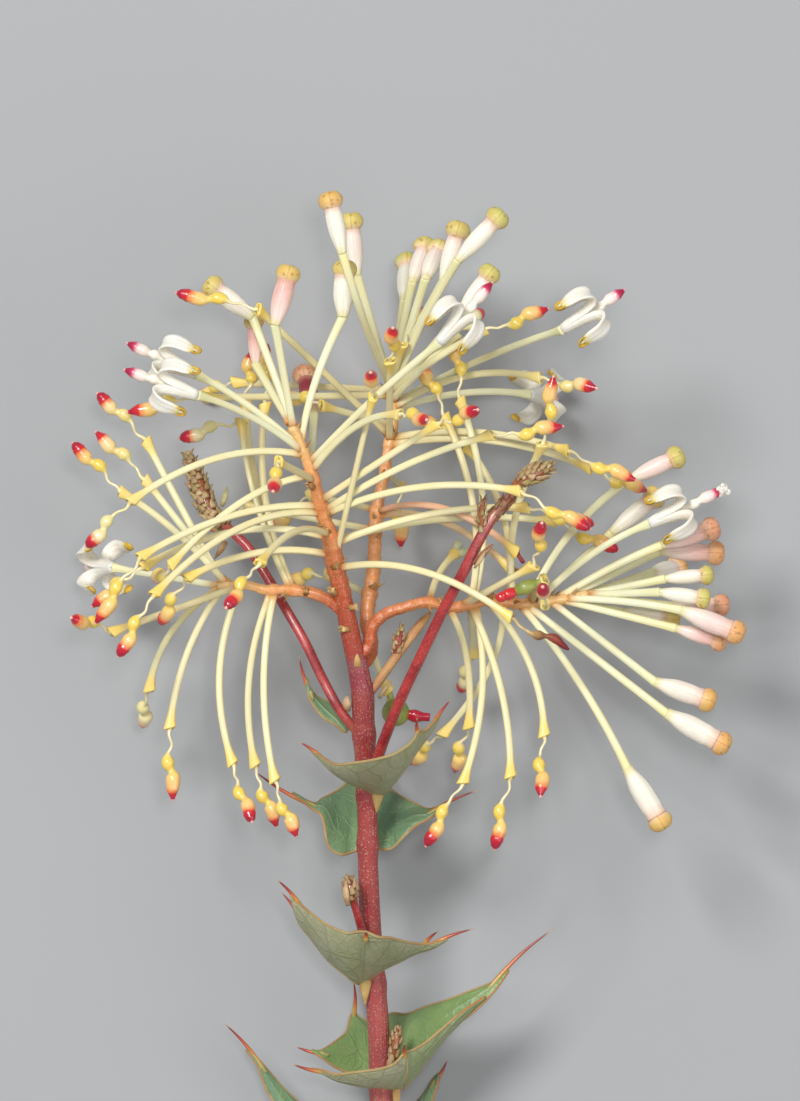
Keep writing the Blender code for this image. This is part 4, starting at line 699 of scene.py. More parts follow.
def stemParts():
    # the cut end has a rounded edge, and pale wood up to place 0.006
    run, along = pathThrough(stemLine(), 0.4)
    radii = run[:, 3].copy()
    for y in stemPiece["nodes"]:
        radii += stemPiece["swelling"] * np.exp(-((run[:, 1] - y) / stemPiece["swellingLength"]) ** 2)
    steps = np.array([[0.0], [0.04], [0.12]])
    path = np.vstack([run[0, :3] + (run[1, :3] - run[0, :3]) * steps, run[1:, :3]])
    rings = np.concatenate([[radii[0] * 0.55, radii[0] * 0.96], radii])
    place = np.concatenate([[0.0, 0.004], np.maximum(along / along[-1], 0.0065)])
    mauve = np.exp(-((path[:, 1] - stemPiece["mauveRing"]) / stemPiece["mauveLength"]) ** 2)
    parts = [sweep(path, rings, stemPiece["sides"], "stem", along=place, lobes=stemPiece["ridges"],
                   depth=stemPiece["ridgeDepth"], rib=mauve)]
    parts += [shootPart(name, line) for name, line in shoots.items()]
    for row in budScales:
        parts += scaleParts(*row)
    parts += [bractPart(line, tone) for line, tone in bracts]
    return parts + [bractPart(clasp, 0.0, "leafBase", 14) for clasp in stemPiece["clasps"]]


# The flowers, as in the solids: stage, root (x, y), torus (x, y, z), tip (x, y), then lean and sag (x, y),
# which are 0 where left out; knobs are the torn ends of fallen flowers: place, direction and how pale

racemes = {
    "raceme_front": {
        "join": (-5.5, 9.3, 21.7, 0.84),
        "rachis": [
            (-5.85, 10.85, 22.1, 0.9), (-6.6, 14, 23, 0.85), (-6.9, 16, 23.8, 0.8), (-7.5, 18, 24.3, 0.65),
            (-8.1, 20, 25, 0.6), (-8.5, 21.5, 25.4, 0.6), (-9.1, 23.5, 25.9, 0.5), (-9.7, 25, 26.2, 0.45),
            (-10.3, 26.5, 26.5, 0.45), (-10.9, 27.5, 26.8, 0.4),
        ],
        "redRoot": 6, "yellow": 0.1, "creamEnd": 6, "ballTones": [0.25, 0.42, 0.4, 0.25, 0.9],
        "tubeTones": [0.12, 0.5, 0.55, 0, 1],
        "looks": {0: {"plump": 1.1}, 1: {"plump": 1.12}, 7: {"pale": 0.8}},
        "knobs": [
            ((-4.6, 9.3, 22.6), (0.9, 0.1, 0.5), 1), ((-6.7, 10.9, 23), (-0.6, 0.5, 0.6), 1),
            ((-5.5, 7.1, 22.2), (-0.9, 0, 0.4), 1), ((-8.9, 21.4, 26.2), (-0.5, 0.3, 0.8), 0.4),
            ((-6.4, 13.4, 23.9), (0.5, 0.2, 0.8), 0.5), ((-7.3, 16.9, 24.9), (-0.5, 0.3, 0.8), 0.5),
        ],
        "flowers": [
            ("white bud", (-9.8, 26.6), (-14.7, 38.2, 23), (-18.7, 41.3)),
            ("pink bud", (-11.3, 27.3), (-12.4, 37.3, 31), (-11.1, 42.4)),
            ("pink bud", (-11.7, 27), (-14.4, 33.5, 20.5), (-14.6, 37.8)),
            ("full bud", (-9.6, 25.6), (-5.7, 38.2, 26.5), (-5.5, 42.95), 0, (-0.6, 0)),
            ("pink bud", (-8.4, 23), (-8.6, 28.6, 17), (-9.6, 32.6), -1),
            ("open", (-10, 24.7), (-20.2, 32.4, 30), (-27.2, 35.6), 0, (0, 0.6)),
            ("open", (-10, 24.6), (-20, 30.3, 34), (-27.4, 32.9), 0, (0, 0.7)),
            ("spent", (-10.1, 24.2), (-26.7, 19.8, 32), (-31.2, 15.2), 0, (0, 2)),
            ("spent", (-8.7, 22), (-12, 23.7, 37), (-12.5, 20.7), 1),
            ("spent", (-9.2, 22.3), (-22.8, 13.4, 29.5), (-24.5, 12), -1, (0, 1.8)),
            ("spent", (-8.2, 19.3), (-25.7, 14.3, 31), (-30.3, 7.6), 0, (0, 1.5)),
            ("spent", (-7.5, 16), (-25.5, 13.3, 28.5), (-30.7, 9.3), 0, (0, 2.1)),
            ("spent", (-7.6, 14.3), (-21.2, 12.2, 27), (-24, 7.5), -1, (0, 1.4)),
            ("spent", (-8.4, 18.4), (-24.3, 10.6, 33), (-28, 4.3), 0, (0, 2.5)),
            ("spent", (-7.2, 16.4), (-13.8, 13.7, 39), (-17.2, 9.2), 1, (0, 1.7)),
            ("open", (-8.9, 23.6), (3.8, 35.5, 33), (9.2, 41.6), 0, (-0.2, 0.3)),
            ("spent", (-5.8, 14), (-2.7, 30.2, 31.5), (-2.9, 32.6), 1),
            ("spent", (-8, 23), (-0.1, 28.4, 35.5), (2.7, 27.8), 1, (0, 1.6)),
            ("spent", (-7.5, 20), (3.7, 27.5, 31), (7.8, 28.9), 1),
            ("spent", (-7.2, 18.9), (9.1, 26.4, 31), (16.3, 27.3), 0, (0, 0.9)),
            ("spent", (-7.2, 18.6), (11.9, 20.8, 33), (19, 17), 0, (0, 1.6)),
            ("spent", (-6, 15.6), (12.7, 19.2, 23.5), (19.5, 17.5), -1, (0, 1.2)),
            ("spent", (-5.8, 16), (15.3, 17.9, 17), (22, 14.9), -1, (0, 1.2)),
            ("withered", (-5.7, 13.3), (11, 8.3, 30), (16.8, 5.1), 0, (0, 2.1)),
        ],
    },
    "raceme_right": {
        "join": (-4.5, 3.9, 20.5, 0.6),
        "rachis": [
            (-3.1, 5.5, 20.6, 0.6), (-2.7, 7.4, 20.8, 0.6), (-1.8, 8.4, 21, 0.6), (0.5, 9.3, 21.5, 0.55),
            (2.5, 9.8, 21.4, 0.55), (5.3, 9.3, 21.1, 0.5), (7.2, 9.6, 20.9, 0.5), (9.1, 10.1, 20.7, 0.5),
            (12, 9.6, 20.5, 0.45), (14.5, 9.9, 20.3, 0.45), (17, 10.2, 20.2, 0.4), (19, 10.6, 20, 0.4),
        ],
        "redRoot": 8.5, "yellow": 0.2, "creamEnd": 9,
        "ballTones": [0.15, 0.4, 0.95, 0.8, 0.05, 0.6, 0.1, 0.95, 0.7, 0.85, 0.3, 0.55, 0.62, 0.5],
        "tubeTones": [0.3, 0.1, 0.46, 0.4, 0.02, 0.12, 0.02, 0.34, 0.32, 0.42, 0.1, 0.16, 0.1, 0.1],
        "looks": {
            2: {"pollen": True}, 9: {"plump": 1.15}, 12: {"plump": 1.15}, 13: {"plump": 1.25},
            14: {"plump": 1.25}, 17: {"pale": 0.7}, 27: {"pale": 0.9},
        },
        "knobs": [((9, 10.4, 21.3), (0.1, 0.9, 0.4), 0.4), ((4.2, 9.9, 22), (-0.2, 0.4, 0.9), 0.6)],
        "flowers": [
            ("white bud", (12.8, 10.2), (23.1, 22.1, 14), (27.7, 24.3), 0, (-0.8, 0.9)),
            ("white bud", (13.5, 10), (21.2, 16.7, 15), (25.5, 20.3)),
            ("open", (13.6, 10.2), (24.8, 17.6, 23), (32.4, 21.1), 0, (0, 0.9)),
            ("pink bud", (15.5, 10.1), (26.1, 15.5, 20), (31.1, 17.1), 0, (0, 0.3)),
            ("pink bud", (16.5, 10.2), (26, 14.9, 17.5), (31.6, 14.7)),
            ("white bud", (18.5, 10.6), (26.4, 12.1, 22), (30.6, 12.5)),
            ("white bud", (17.8, 10.4), (25.2, 12.7, 15), (27.8, 13.2), -1),
            ("white bud", (18.8, 10.5), (25.8, 10.8, 24), (30.2, 10.2)),
            ("pink bud", (18.5, 10.4), (27.2, 9.4, 20), (32.1, 9.5)),
            ("pink bud", (16.5, 10), (28, 9, 24), (33.5, 6.8), 0, (0, 0.3)),
            ("pink bud", (16, 9.8), (27.5, 7.2, 21), (31.9, 5.9)),
            ("white bud", (16.5, 9.9), (22.2, 8.8, 18), (27.2, 8.1)),
            ("white bud", (15, 9.8), (25.5, 1.8, 20), (30.7, 0)),
            ("pink bud", (12.5, 9.7), (26.6, -1.3, 23), (32.1, -4.3)),
            ("pink bud", (12, 9.7), (22.7, -6.8, 22), (26, -12.1), 0, (0.6, 0.3)),
            ("spent", (11.5, 9.9), (14.2, 25.5, 25), (15.3, 32.4), 1, (-1.4, 0)),
            ("spent", (6, 10.2), (13.3, 13.4, 25), (14.1, 17.8), 1),
            ("spent", (14, 9.9), (14.4, 9.6, 30), (14.1, 11.4), 1),
            ("green fruit", (13, 9.9), (14.4, 12, 23.5), (9.6, 10.1)),
            ("spent", (7.2, 10), (6, 30, 20), (5.5, 36.5), 0, (1.6, 0)),
            ("spent", (7, 9.8), (4.5, 28.3, 18.5), (2, 34), 0, (1.6, 0)),
            ("spent", (11, 10), (6.6, 25.4, 15), (2, 28.5), 0, (1.5, 1)),
            ("spent", (4.8, 9.2), (6.9, -2.7, 17), (5.5, -7.4), -1, (0.8, 0.8)),
            ("spent", (10.3, 10), (4.3, -3.5, 15), (1, -6.6), -1, (1.8, 0.3)),
            ("spent", (7.5, 9.6), (6.3, -8.2, 22), (2.5, -14.7), 0, (1.3, 0)),
            ("spent", (7, 9.4), (11, -7.6, 24), (9.4, -15), 0, (1.1, 0)),
            ("spent", (8.7, 10), (14.4, -3.5, 21), (14, -9.7), 1, (1.4, 0.3)),
            ("spent", (7, 9.4), (7.5, 4.5, 12.5), (6.1, 0.7), -1),
            ("bare torus", (3, 9.9), (5.6, 14.7, 14), (6.5, 15.5), 0, (-0.4, 0.3)),
        ],
    },
    "raceme_left": {
        "join": (-5.9, 9, 21.5, 0.6),
        "rachis": [
            (-7.35, 10.1, 21.5, 0.6), (-8.5, 10.6, 21.4, 0.6), (-10, 10.9, 21, 0.55), (-11.5, 11, 20.5, 0.5),
            (-13.5, 11, 20.4, 0.5), (-15, 11.4, 20.2, 0.45), (-16.5, 11.5, 20.1, 0.45),
            (-18.4, 11.3, 20, 0.4),
        ],
        "redRoot": 3, "yellow": 0.25, "creamEnd": 6, "ballTones": [], "tubeTones": [],
        "looks": {0: {"pale": 0.5}, 1: {"pale": 0.5}, 5: {"pale": 0.8}, 10: {"pale": 0.8}},
        "knobs": [((-9.4, 10.9, 21.9), (-0.1, 0.5, 0.8), 0.2)],
        "flowers": [
            ("spent", (-17.6, 11.7), (-25.4, 25.9, 17), (-30.4, 30.8), 0, (-0.2, 0.2)),
            ("spent", (-17.4, 11.7), (-25.5, 22, 19.5), (-30.5, 26.9), 0, (-0.1, 0.3)),
            ("spent", (-17.2, 11.6), (-27.9, 20.8, 21.5), (-32.8, 25.8), 0, (0, 0.8)),
            ("open", (-18.4, 11.3), (-28.7, 13.2, 14.5), (-31.8, 13.3), -1),
            ("spent", (-16, 10.6), (-28.8, 6.8, 22), (-32.8, 8.3), 1),
            ("spent", (-18.4, 11), (-25.1, 1, 17), (-25.9, -2.9), -1, (-1.4, 0.6)),
            ("spent", (-17.5, 10.5), (-23, -2.7, 21), (-22.7, -10.1), 0, (-0.9, 0.5)),
            ("spent", (-16, 10.6), (-16.7, -6.3, 22.5), (-14.7, -12.2), 1, (-1.7, 0)),
            ("spent", (-12.8, 10.4), (-14.5, -6.5, 19.5), (-12.3, -12.8), 0, (-1.4, 0)),
            ("spent", (-12.5, 10.3), (-12.5, -8, 23), (-10.3, -13.7), 0, (-1.1, 0)),
            ("spent", (-10.8, 11.6), (-15.9, 27.9, 18), (-22.2, 26.1), 0, (-0.9, 0)),
            ("spent", (-10.6, 11.6), (-13.5, 29.6, 16), (-13.6, 36), 0, (-1.4, 0)),
            ("spent", (-10.6, 11.6), (-15.5, 29.8, 13), (-15, 35), 0, (-1, 0)),
        ],
    },
    "raceme_back": {
        "join": (-4.6, 3.2, 20.2, 0.7),
        "rachis": [
            (-3.3, 4.2, 19.2, 0.75), (-3.3, 9, 18, 0.75), (-2.7, 12.8, 17, 0.7), (-2.5, 16.6, 16.3, 0.65),
            (-2.2, 20, 16, 0.6), (-1.6, 22.4, 15.6, 0.55), (-1.2, 25.2, 15.2, 0.5), (-0.8, 27.1, 14.8, 0.5),
            (-0.8, 29.5, 14.4, 0.45), (-1, 32, 14, 0.4),
        ],
        "redRoot": 6, "yellow": 0.3, "creamEnd": 8,
        "ballTones": [0.5, 0.25, 0.1, 0.25, 0.15, 0.12, 0.05, 0.1],
        "tubeTones": [0.05, 0.2, 0.05, 0.15, 0.2, 0.15, 0, 0.1],
        "looks": {
            13: {"pale": 1}, 17: {"pale": 0.5}, 21: {"salmon": 1, "end": "stub"},
            22: {"salmon": 0.8, "end": "torn"},
        },
        "knobs": [((-2.6, 11.3, 18.1), (0.7, 0.2, 0.6), 0.2)],
        "flowers": [
            ("spent", (-1.5, 31), (-16.7, 31.9, 5.7), (-20.5, 30.5), -1),
            ("open", (-0.7, 29), (13, 30.7, 7.1), (16, 30.2), -1, (0, 0.9)),
            ("spent", (-1.5, 26.5), (-14.1, 38.9, 28.6), (-22.4, 40.6)),
            ("spent", (-1.4, 30.5), (-19.5, 30.2, 24), (-27.3, 28.7)),
            ("spent", (-2, 27.5), (-7.8, 29.4, 22), (-11.5, 30.6), -1),
            ("white bud", (-1, 32), (-5.7, 44.4, 30), (-6.9, 49.7), 0, (-0.3, 0)),
            ("white bud", (-0.9, 31.8), (-4.3, 42.5, 17), (-4.9, 47.9)),
            ("white bud", (-1.1, 30), (5.7, 43.8, 24), (9.7, 48.1), 0, (-0.6, 0)),
            ("white bud", (-1.1, 30.2), (4.3, 41.8, 20), (5.8, 47), 0, (-0.5, 0)),
            ("white bud", (-1, 31.5), (1.2, 41.7, 18), (2.5, 45.4), -1),
            ("pink bud", (-1, 31.2), (2.5, 42, 20), (3.8, 45.1), -1),
            ("white bud", (-1, 31.7), (0.4, 40, 15), (0.7, 43.9), -1),
            ("white bud", (-1, 30.5), (6, 38.5, 27), (8.9, 42.5)),
            ("spent", (-1, 30), (5.5, 36.5, 22), (8.3, 39), -1),
            ("spent", (-0.9, 31), (0.2, 35.5, 19), (2.2, 39.4), -1),
            ("spent", (-1.4, 26), (-1, 33.8, 26), (-0.7, 37.1), 1),
            ("open", (-0.9, 29.6), (16.1, 36.9, 29), (22.4, 40.9), 0, (0, 0.6)),
            ("spent", (-0.7, 29.2), (14, 32.2, 21), (19.7, 31.1), 1, (0, 1.7)),
            ("spent", (-1, 30.8), (8.3, 36.9, 24), (14.9, 39.1), 0, (0, 0.3)),
            ("spent", (-0.9, 26.2), (16.7, 24.9, 24), (23.6, 21.9), 0, (0, 1.2)),
            ("spent", (-0.8, 25.4), (19, 23.2, 20), (24.8, 20.9), -1, (0, 1.6)),
            ("bare torus", (-1.8, 18.8), (11.6, 14.8, 21), (13.1, 12.6), 0, (0, 2.2)),
            ("bare torus", (-1.9, 18.4), (11.2, 13, 20), (12.2, 12.4), 0, (0, 2)),
            ("spent", (-1.4, 23), (0, 21.5, 6.5), (0.1, 15.2)),
            ("spent", (-3, 10.5), (-7.2, 12.5, 8), (-11.5, 12), -1),
            ("spent", (-2.3, 19), (-9, 20.5, 9), (-13, 17.2), -1),
            ("spent", (-2.5, 17), (-15.3, 19.4, 11), (-19.5, 17), -1),
            ("berry", (-2.9, 7.5), (-1.2, 0.9, 13), (-0.4, -1.3), 0, (-0.3, 0)),
        ],
    },
}
# what the solids measure, so that every flower gets the solids' own place and depth
solidSizes = {
    "stalk": 0.38, "torus": 0.68, "pistil": 7.3, "bud": 5.3, "open": 8.0, "ball": 1.2, "berry": 1.4,
    "tepalWidth": 0.9, "leaf": 0.6, "leafBulge": 0.5, "bulgeShare": 0.08, "spineFoot": 0.3, "spineTip": 0.1,
    "clearance": 0.25, "surfaceClearance": 0.9, "rootDepth": 0.55, "endInset": 0.6, "torusStep": 0.8,
    "middleStep": 1.0, "sampleSpacing": 0.6, "scaleRoom": 0.15, "curvedSag": 1.25, "steps": 5, "resting": 2,
}
# the solids' rings beyond the torus: share of the length, radius and sideways offset; for the berry's style
# x and y from the berry, and radius
solidHeads = {
    "spent": [
        (0.03, 0.28, 0.0), (0.4, 0.3, 0.3), (0.51, 0.66, 0.25), (0.6, 0.46, 0.0), (0.7, 0.76, -0.1),
        (0.86, 0.6, 0.0), (1.0, 0.12, 0.0),
    ],
    "open": [
        (0.03, 0.3, 0.0), (0.45, 0.34, 0.0), (0.55, 0.62, 0.1), (0.63, 0.42, 0.0), (0.74, 0.72, 0.0),
        (0.86, 0.6, 0.0), (1.0, 0.12, 0.0),
    ],
    "withered": [(0.03, 0.24, 0.0), (0.35, 0.22, 0.5), (0.75, 0.26, -0.3), (1.0, 0.12, 0.0)],
    "green fruit": [
        (0.05, 0.3, 0.0), (0.16, 0.36, 0.0), (0.375, 0.74, 0.0), (0.585, 0.44, 0.0), (0.74, 0.6, 0.0),
        (0.93, 0.48, 0.0), (1.0, 0.15, 0.0),
    ],
    "bare torus": [(0.5, 0.4, 0.0)], "bud tube": [(0.08, 0.55), (0.45, 0.86)],
    "bud ball": [(-1.1, 0.62), (-0.55, 0.94), (0.15, 1.04), (0.8, 0.76), (1.15, 0.25)],
    "berry": [0.12, 0.5, 0.88], "berry style": [(0.9, -0.15, 0.42), (2.0, -0.35, 0.48), (3.4, -0.5, 0.2)],
}
tepalLine = [(0.0, 0.3), (3.2, 0.9), (4.1, 1.8), (3.2, 2.7), (1.2, 2.9)]  # ahead of the torus and outwards
tepalTurns = [41, 133, 224, 317]


# Where every flower goes: the same rule as in the solids, so that each finer flower stands on its solid

def spheresAlong(points, radii):
    # spheres about every sample spacing on straight runs between the points
    radii = np.broadcast_to(np.asarray(radii, float), len(points))
    line = np.column_stack([np.asarray(points, float), radii])
    found = []
    for start, end in zip(line[:-1], line[1:]):
        count = max(int(math.ceil(float(np.linalg.norm((end - start)[:3])) / solidSizes["sampleSpacing"])), 1)
        share = np.linspace(0.0, 1.0, count + 1)[:, None]
        found.append(start * (1 - share) + end * share)
    return np.vstack(found)


def lineSpheres(line, room=0.0):
    line = np.asarray(line, float)
    return spheresAlong(line[:, :3], line[:, 3]) + np.array([0.0, 0.0, 0.0, room])


def leafSpheres(leaf):
    thick = solidSizes["leaf"]
    found = []
    for columns in leaf["sheets"]:
        found += [spheresAlong(pair, thick) for pair in columns]
        found += [spheresAlong((np.array(first) + np.array(second)) / 2, thick)
                  for first, second in zip(columns[:-1], columns[1:])]
    ends = [solidSizes["spineFoot"], solidSizes["spineTip"]]
    found += [spheresAlong(spine, ends) for spine in leaf["spines"]]
    return np.vstack(found)


def nearestOn(rachis, x, y):
    # foot of the perpendicular on each run, the nearest of them, and a little back from the very end
    points = np.array(rachis)
    runs = np.diff(points, axis=0)
    share = ((np.array([x, y]) - points[:-1, :2]) * runs[:, :2]).sum(axis=1) / (runs[:, :2] ** 2).sum(axis=1)
    places = points[:-1] + runs * np.clip(share, 0.0, 1.0)[:, None]
    best = int(np.argmin(np.hypot(places[:, 0] - x, places[:, 1] - y)))
    inward = unit(runs[best, :3]) * solidSizes["endInset"]
    return places[best, :3] - inward * np.allclose(places[best], points[-1]), float(places[best, 3])


def crossOf(axis):
    side = unit(np.cross(axis, upwards if abs(axis[2]) < 0.9 else sideways))
    return side, unit(np.cross(axis, side))


def stalkCurve(flower, share):
    # start (1-t)^2 + control 2 t (1-t) + torus t^2
    t = np.asarray(share, float)[:, None]
    return flower["start"] * (1 - t) ** 2 + flower["control"] * 2 * t * (1 - t) + flower["torus"] * t ** 2


def layFlower(rachis, torusShift, middleShift, stage, root, torus, tip, lean=0, sag=(0.0, 0.0)):
    centre, radius = nearestOn(rachis, *root)
    torus = np.array(torus) + upwards * torusShift
    control = (centre + torus) / 2 + 2.0 * np.array([*sag, middleShift])
    kind = "bud" if "bud" in stage else "open" if stage == "open" else "pistil"
    flat = math.hypot(tip[0] - torus[0], tip[1] - torus[1])
    rise = lean * math.sqrt(max(solidSizes[kind] ** 2 - flat ** 2, 0.0))
    curved = math.hypot(*sag) > solidSizes["curvedSag"] or bool(middleShift)
    tip = np.array([*tip, torus[2] + rise])
    length = float(np.linalg.norm(tip - torus))
    side, up = crossOf(unit(tip - torus))
    return {"stage": stage, "centre": centre, "control": control, "torus": torus, "tip": tip,
            "length": length, "start": centre + unit(control - centre) * radius * solidSizes["rootDepth"],
            "axis": unit(tip - torus), "side": side, "up": up,
            "fullness": 1.2 if stage == "full bud" else min(max(length / solidSizes["bud"], 0.8), 1.0),
            "solidSteps": [0.0, 0.33, 0.66, 0.93, 1.0] if curved else [0.0, 0.5, 0.93, 1.0]}


def tepalRuns(flower):
    for turn in tepalTurns:
        outward = around(flower["side"], flower["up"], math.radians(turn))
        yield [flower["torus"] + flower["axis"] * ahead + outward * out for ahead, out in tepalLine], outward


def headSpheres(flower):
    stage, axis, side, length = (flower[key] for key in ("stage", "axis", "side", "length"))
    if "bud" in stage:
        ball = min(flower["fullness"], 1.0)
        rings = [(flower["torus"] + axis * share * length, radius * flower["fullness"])
                 for share, radius in solidHeads["bud tube"]]
        return rings + [(flower["tip"] + axis * place * ball, solidSizes["ball"] * share * ball)
                        for place, share in solidHeads["bud ball"]]
    if stage == "berry":
        size = solidSizes["berry"]
        return [(flower["tip"] + axis * size * (2 * share - 1), size * math.sin(math.pi * share))
                for share in solidHeads["berry"]]
    return [(flower["torus"] + axis * share * length + side * off, radius)
            for share, radius, off in solidHeads[stage]]


def flowerSpheres(flower):
    stalk = stalkCurve(flower, flower["solidSteps"])
    rings = headSpheres(flower)
    radii = [solidSizes["stalk"]] * (len(stalk) - 1) + [solidSizes["torus"]] + [ring[1] for ring in rings]
    found = [spheresAlong([*stalk, *[ring[0] for ring in rings]], radii)]
    if flower["stage"] == "open":
        found += [spheresAlong(line, solidSizes["tepalWidth"] / 2 + 0.1) for line, _ in tepalRuns(flower)]
    if flower["stage"] == "berry":
        style = np.array(solidHeads["berry style"])
        found.append(spheresAlong(flower["tip"] + style * np.array([1.0, 1.0, 0.0]), style[:, 2]))
    return np.vstack(found)


def gapBetween(spheres, others):
    reach = 3.0
    low = spheres[:, :3].min(axis=0) - reach
    high = spheres[:, :3].max(axis=0) + reach
    near = others[np.all((others[:, :3] > low) & (others[:, :3] < high), axis=1)]
    if not len(near):
        return reach
    apart = np.linalg.norm(spheres[:, None, :3] - near[None, :, :3], axis=2)
    return float((apart - spheres[:, None, 3] - near[None, :, 3]).min())


def depthTries():
    steps = range(-solidSizes["steps"], solidSizes["steps"] + 1)
    tries = [(a * solidSizes["torusStep"], b * solidSizes["middleStep"]) for a in steps for b in steps]
    return sorted(tries, key=lambda pair: (abs(pair[0]) * 1.3 + abs(pair[1]), pair))


def placeFlowers(raceme, others, rests):
    # each flower takes the first depth that keeps it clear of the other nodes and of the floor
    placed = []
    for number, row in enumerate(raceme["flowers"]):
        best = None
        resting = rests and number < solidSizes["resting"]
        for torusShift, middleShift in depthTries():
            if resting and torusShift:
                continue
            flower = layFlower(raceme["rachis"], torusShift, middleShift, *row)
            spheres = flowerSpheres(flower)
            floorGap = float((spheres[:, 2] - spheres[:, 3]).min()) - solidSizes["surfaceClearance"]
            gap = gapBetween(spheres, others) - solidSizes["clearance"]
            score = gap if resting else min(gap, floorGap)
            if best is None or score > best[0]:
                best = (score, flower, spheres)
            if score >= 0.0:
                break
        placed.append(best[1:])
    return placed


def planFlowers():
    shootSpheres = [lineSpheres(line, solidSizes["scaleRoom"]) for name, line in shoots.items()
                    if "Axil" not in name]
    held = {"stem": [lineSpheres(stemLine()), *shootSpheres]}
    held.update({name: [leafSpheres(leaf)] for name, leaf in leaves.items()})
    held.update({name: [lineSpheres(raceme["rachis"])] for name, raceme in racemes.items()})
    plan = {}
    for name, raceme in racemes.items():
        others = np.vstack([spheres for owner, found in held.items() if owner != name for spheres in found])
        placed = placeFlowers(raceme, others, name == "raceme_back")
        held[name] += [spheres for _, spheres in placed]
        plan[name] = [flower for flower, _ in placed]
    return plan


# Finer flowers: a profile of radius and sideways offset carried along each head

# mouth: ahead of the torus in mm and share of its radius, a sharp lip round a flat end
flowerForm = {
    "stalkRows": [16, 11], "stalkSides": 12, "headSides": 14, "headRows": 52, "seed": 11,
    "stalkRadius": 0.37, "budStalkRadii": (0.36, 0.45), "stalkFlat": 0.78, "stalkSquare": -0.07,
    "footRadius": 0.46, "footLength": 0.7, "flareLength": 1.9, "flareExponent": 1.5,
    "flareRadius": {"spent": 0.67, "open": 0.56, "bud": 0.5}, "slant": 0.28,
    "mouth": [(0.07, 1.0), (0.14, 0.84), (0.12, 0.45)], "wave": 0.2, "nodule": 0.13, "noduleLength": 0.4,
    "stubs": 0.55,
}
# share of the length, radius and sideways offset along a head
headForms = {
    "spent": [
        (0.0, 0.34, 0.0), (0.04, 0.21, 0.0), (0.12, 0.145, 0.0), (0.28, 0.15, 0.12), (0.355, 0.21, 0.28),
        (0.395, 0.42, 0.34), (0.435, 0.6, 0.36), (0.48, 0.66, 0.34), (0.525, 0.6, 0.26), (0.56, 0.44, 0.13),
        (0.585, 0.37, 0.03), (0.61, 0.44, -0.04), (0.64, 0.62, -0.1), (0.675, 0.72, -0.11),
        (0.73, 0.74, -0.1), (0.78, 0.7, -0.07), (0.815, 0.66, -0.04), (0.835, 0.66, -0.02),
        (0.86, 0.59, 0.0), (0.89, 0.48, 0.0), (0.925, 0.35, 0.0), (0.955, 0.24, 0.0), (0.97, 0.19, 0.0),
        (0.985, 0.16, 0.0), (1.0, 0.07, 0.0),
    ],
    "blunt": [
        (0.0, 0.34, 0.0), (0.04, 0.21, 0.0), (0.12, 0.145, 0.0), (0.29, 0.15, 0.12), (0.36, 0.21, 0.26),
        (0.4, 0.42, 0.32), (0.44, 0.58, 0.34), (0.485, 0.63, 0.33), (0.53, 0.57, 0.24), (0.565, 0.42, 0.12),
        (0.59, 0.35, 0.03), (0.615, 0.42, -0.04), (0.65, 0.6, -0.1), (0.69, 0.7, -0.11), (0.74, 0.71, -0.1),
        (0.79, 0.67, -0.07), (0.82, 0.64, -0.04), (0.845, 0.68, -0.02), (0.87, 0.63, 0.0),
        (0.905, 0.54, 0.0), (0.935, 0.47, 0.0), (0.955, 0.36, 0.0), (0.967, 0.18, 0.0), (0.985, 0.15, 0.0),
        (1.0, 0.07, 0.0),
    ],
    "open": [
        (0.0, 0.34, 0.0), (0.05, 0.28, 0.0), (0.2, 0.26, 0.0), (0.46, 0.27, 0.0), (0.52, 0.33, 0.03),
        (0.56, 0.46, 0.08), (0.6, 0.52, 0.09), (0.635, 0.44, 0.05), (0.665, 0.34, 0.0), (0.695, 0.44, 0.0),
        (0.73, 0.57, 0.0), (0.765, 0.6, 0.0), (0.81, 0.57, 0.0), (0.85, 0.53, 0.0), (0.87, 0.56, 0.0),
        (0.9, 0.47, 0.0), (0.94, 0.32, 0.0), (0.97, 0.2, 0.0), (0.985, 0.16, 0.0), (1.0, 0.07, 0.0),
    ],
    "withered": [
        (0.0, 0.26, 0.0), (0.06, 0.18, 0.0), (0.18, 0.15, 0.2), (0.33, 0.17, 0.45), (0.4, 0.27, 0.42),
        (0.46, 0.46, 0.3), (0.52, 0.48, 0.15), (0.57, 0.3, 0.0), (0.61, 0.24, -0.1), (0.66, 0.38, -0.2),
        (0.73, 0.47, -0.28), (0.8, 0.42, -0.22), (0.86, 0.34, -0.12), (0.92, 0.28, -0.05), (0.97, 0.18, 0.0),
        (1.0, 0.1, 0.0),
    ],
    "green fruit": [
        (0.0, 0.3, 0.0), (0.05, 0.3, 0.0), (0.14, 0.34, 0.0), (0.2, 0.52, 0.0), (0.28, 0.66, 0.0),
        (0.375, 0.72, 0.0), (0.47, 0.66, 0.0), (0.55, 0.52, 0.0), (0.6, 0.4, 0.0),
    ],
    "fruit style": [
        (0.57, 0.32, 0.0), (0.62, 0.48, 0.0), (0.7, 0.58, 0.0), (0.78, 0.6, 0.0), (0.84, 0.5, 0.0),
        (0.89, 0.53, 0.0), (0.95, 0.46, 0.0), (0.98, 0.34, 0.0), (1.0, 0.14, 0.0),
    ],
}
budForm = [
    (0.0, 0.46), (0.02, 0.47), (0.045, 0.48), (0.08, 0.51), (0.17, 0.61), (0.3, 0.76), (0.45, 0.85),
    (0.6, 0.87), (0.72, 0.85), (0.79, 0.81), (0.85, 0.83), (0.9, 0.94),
]
bead = {"stretch": 0.88, "lobes": 4, "depth": 0.035, "dimple": 0.13, "rows": 18, "sides": 24}
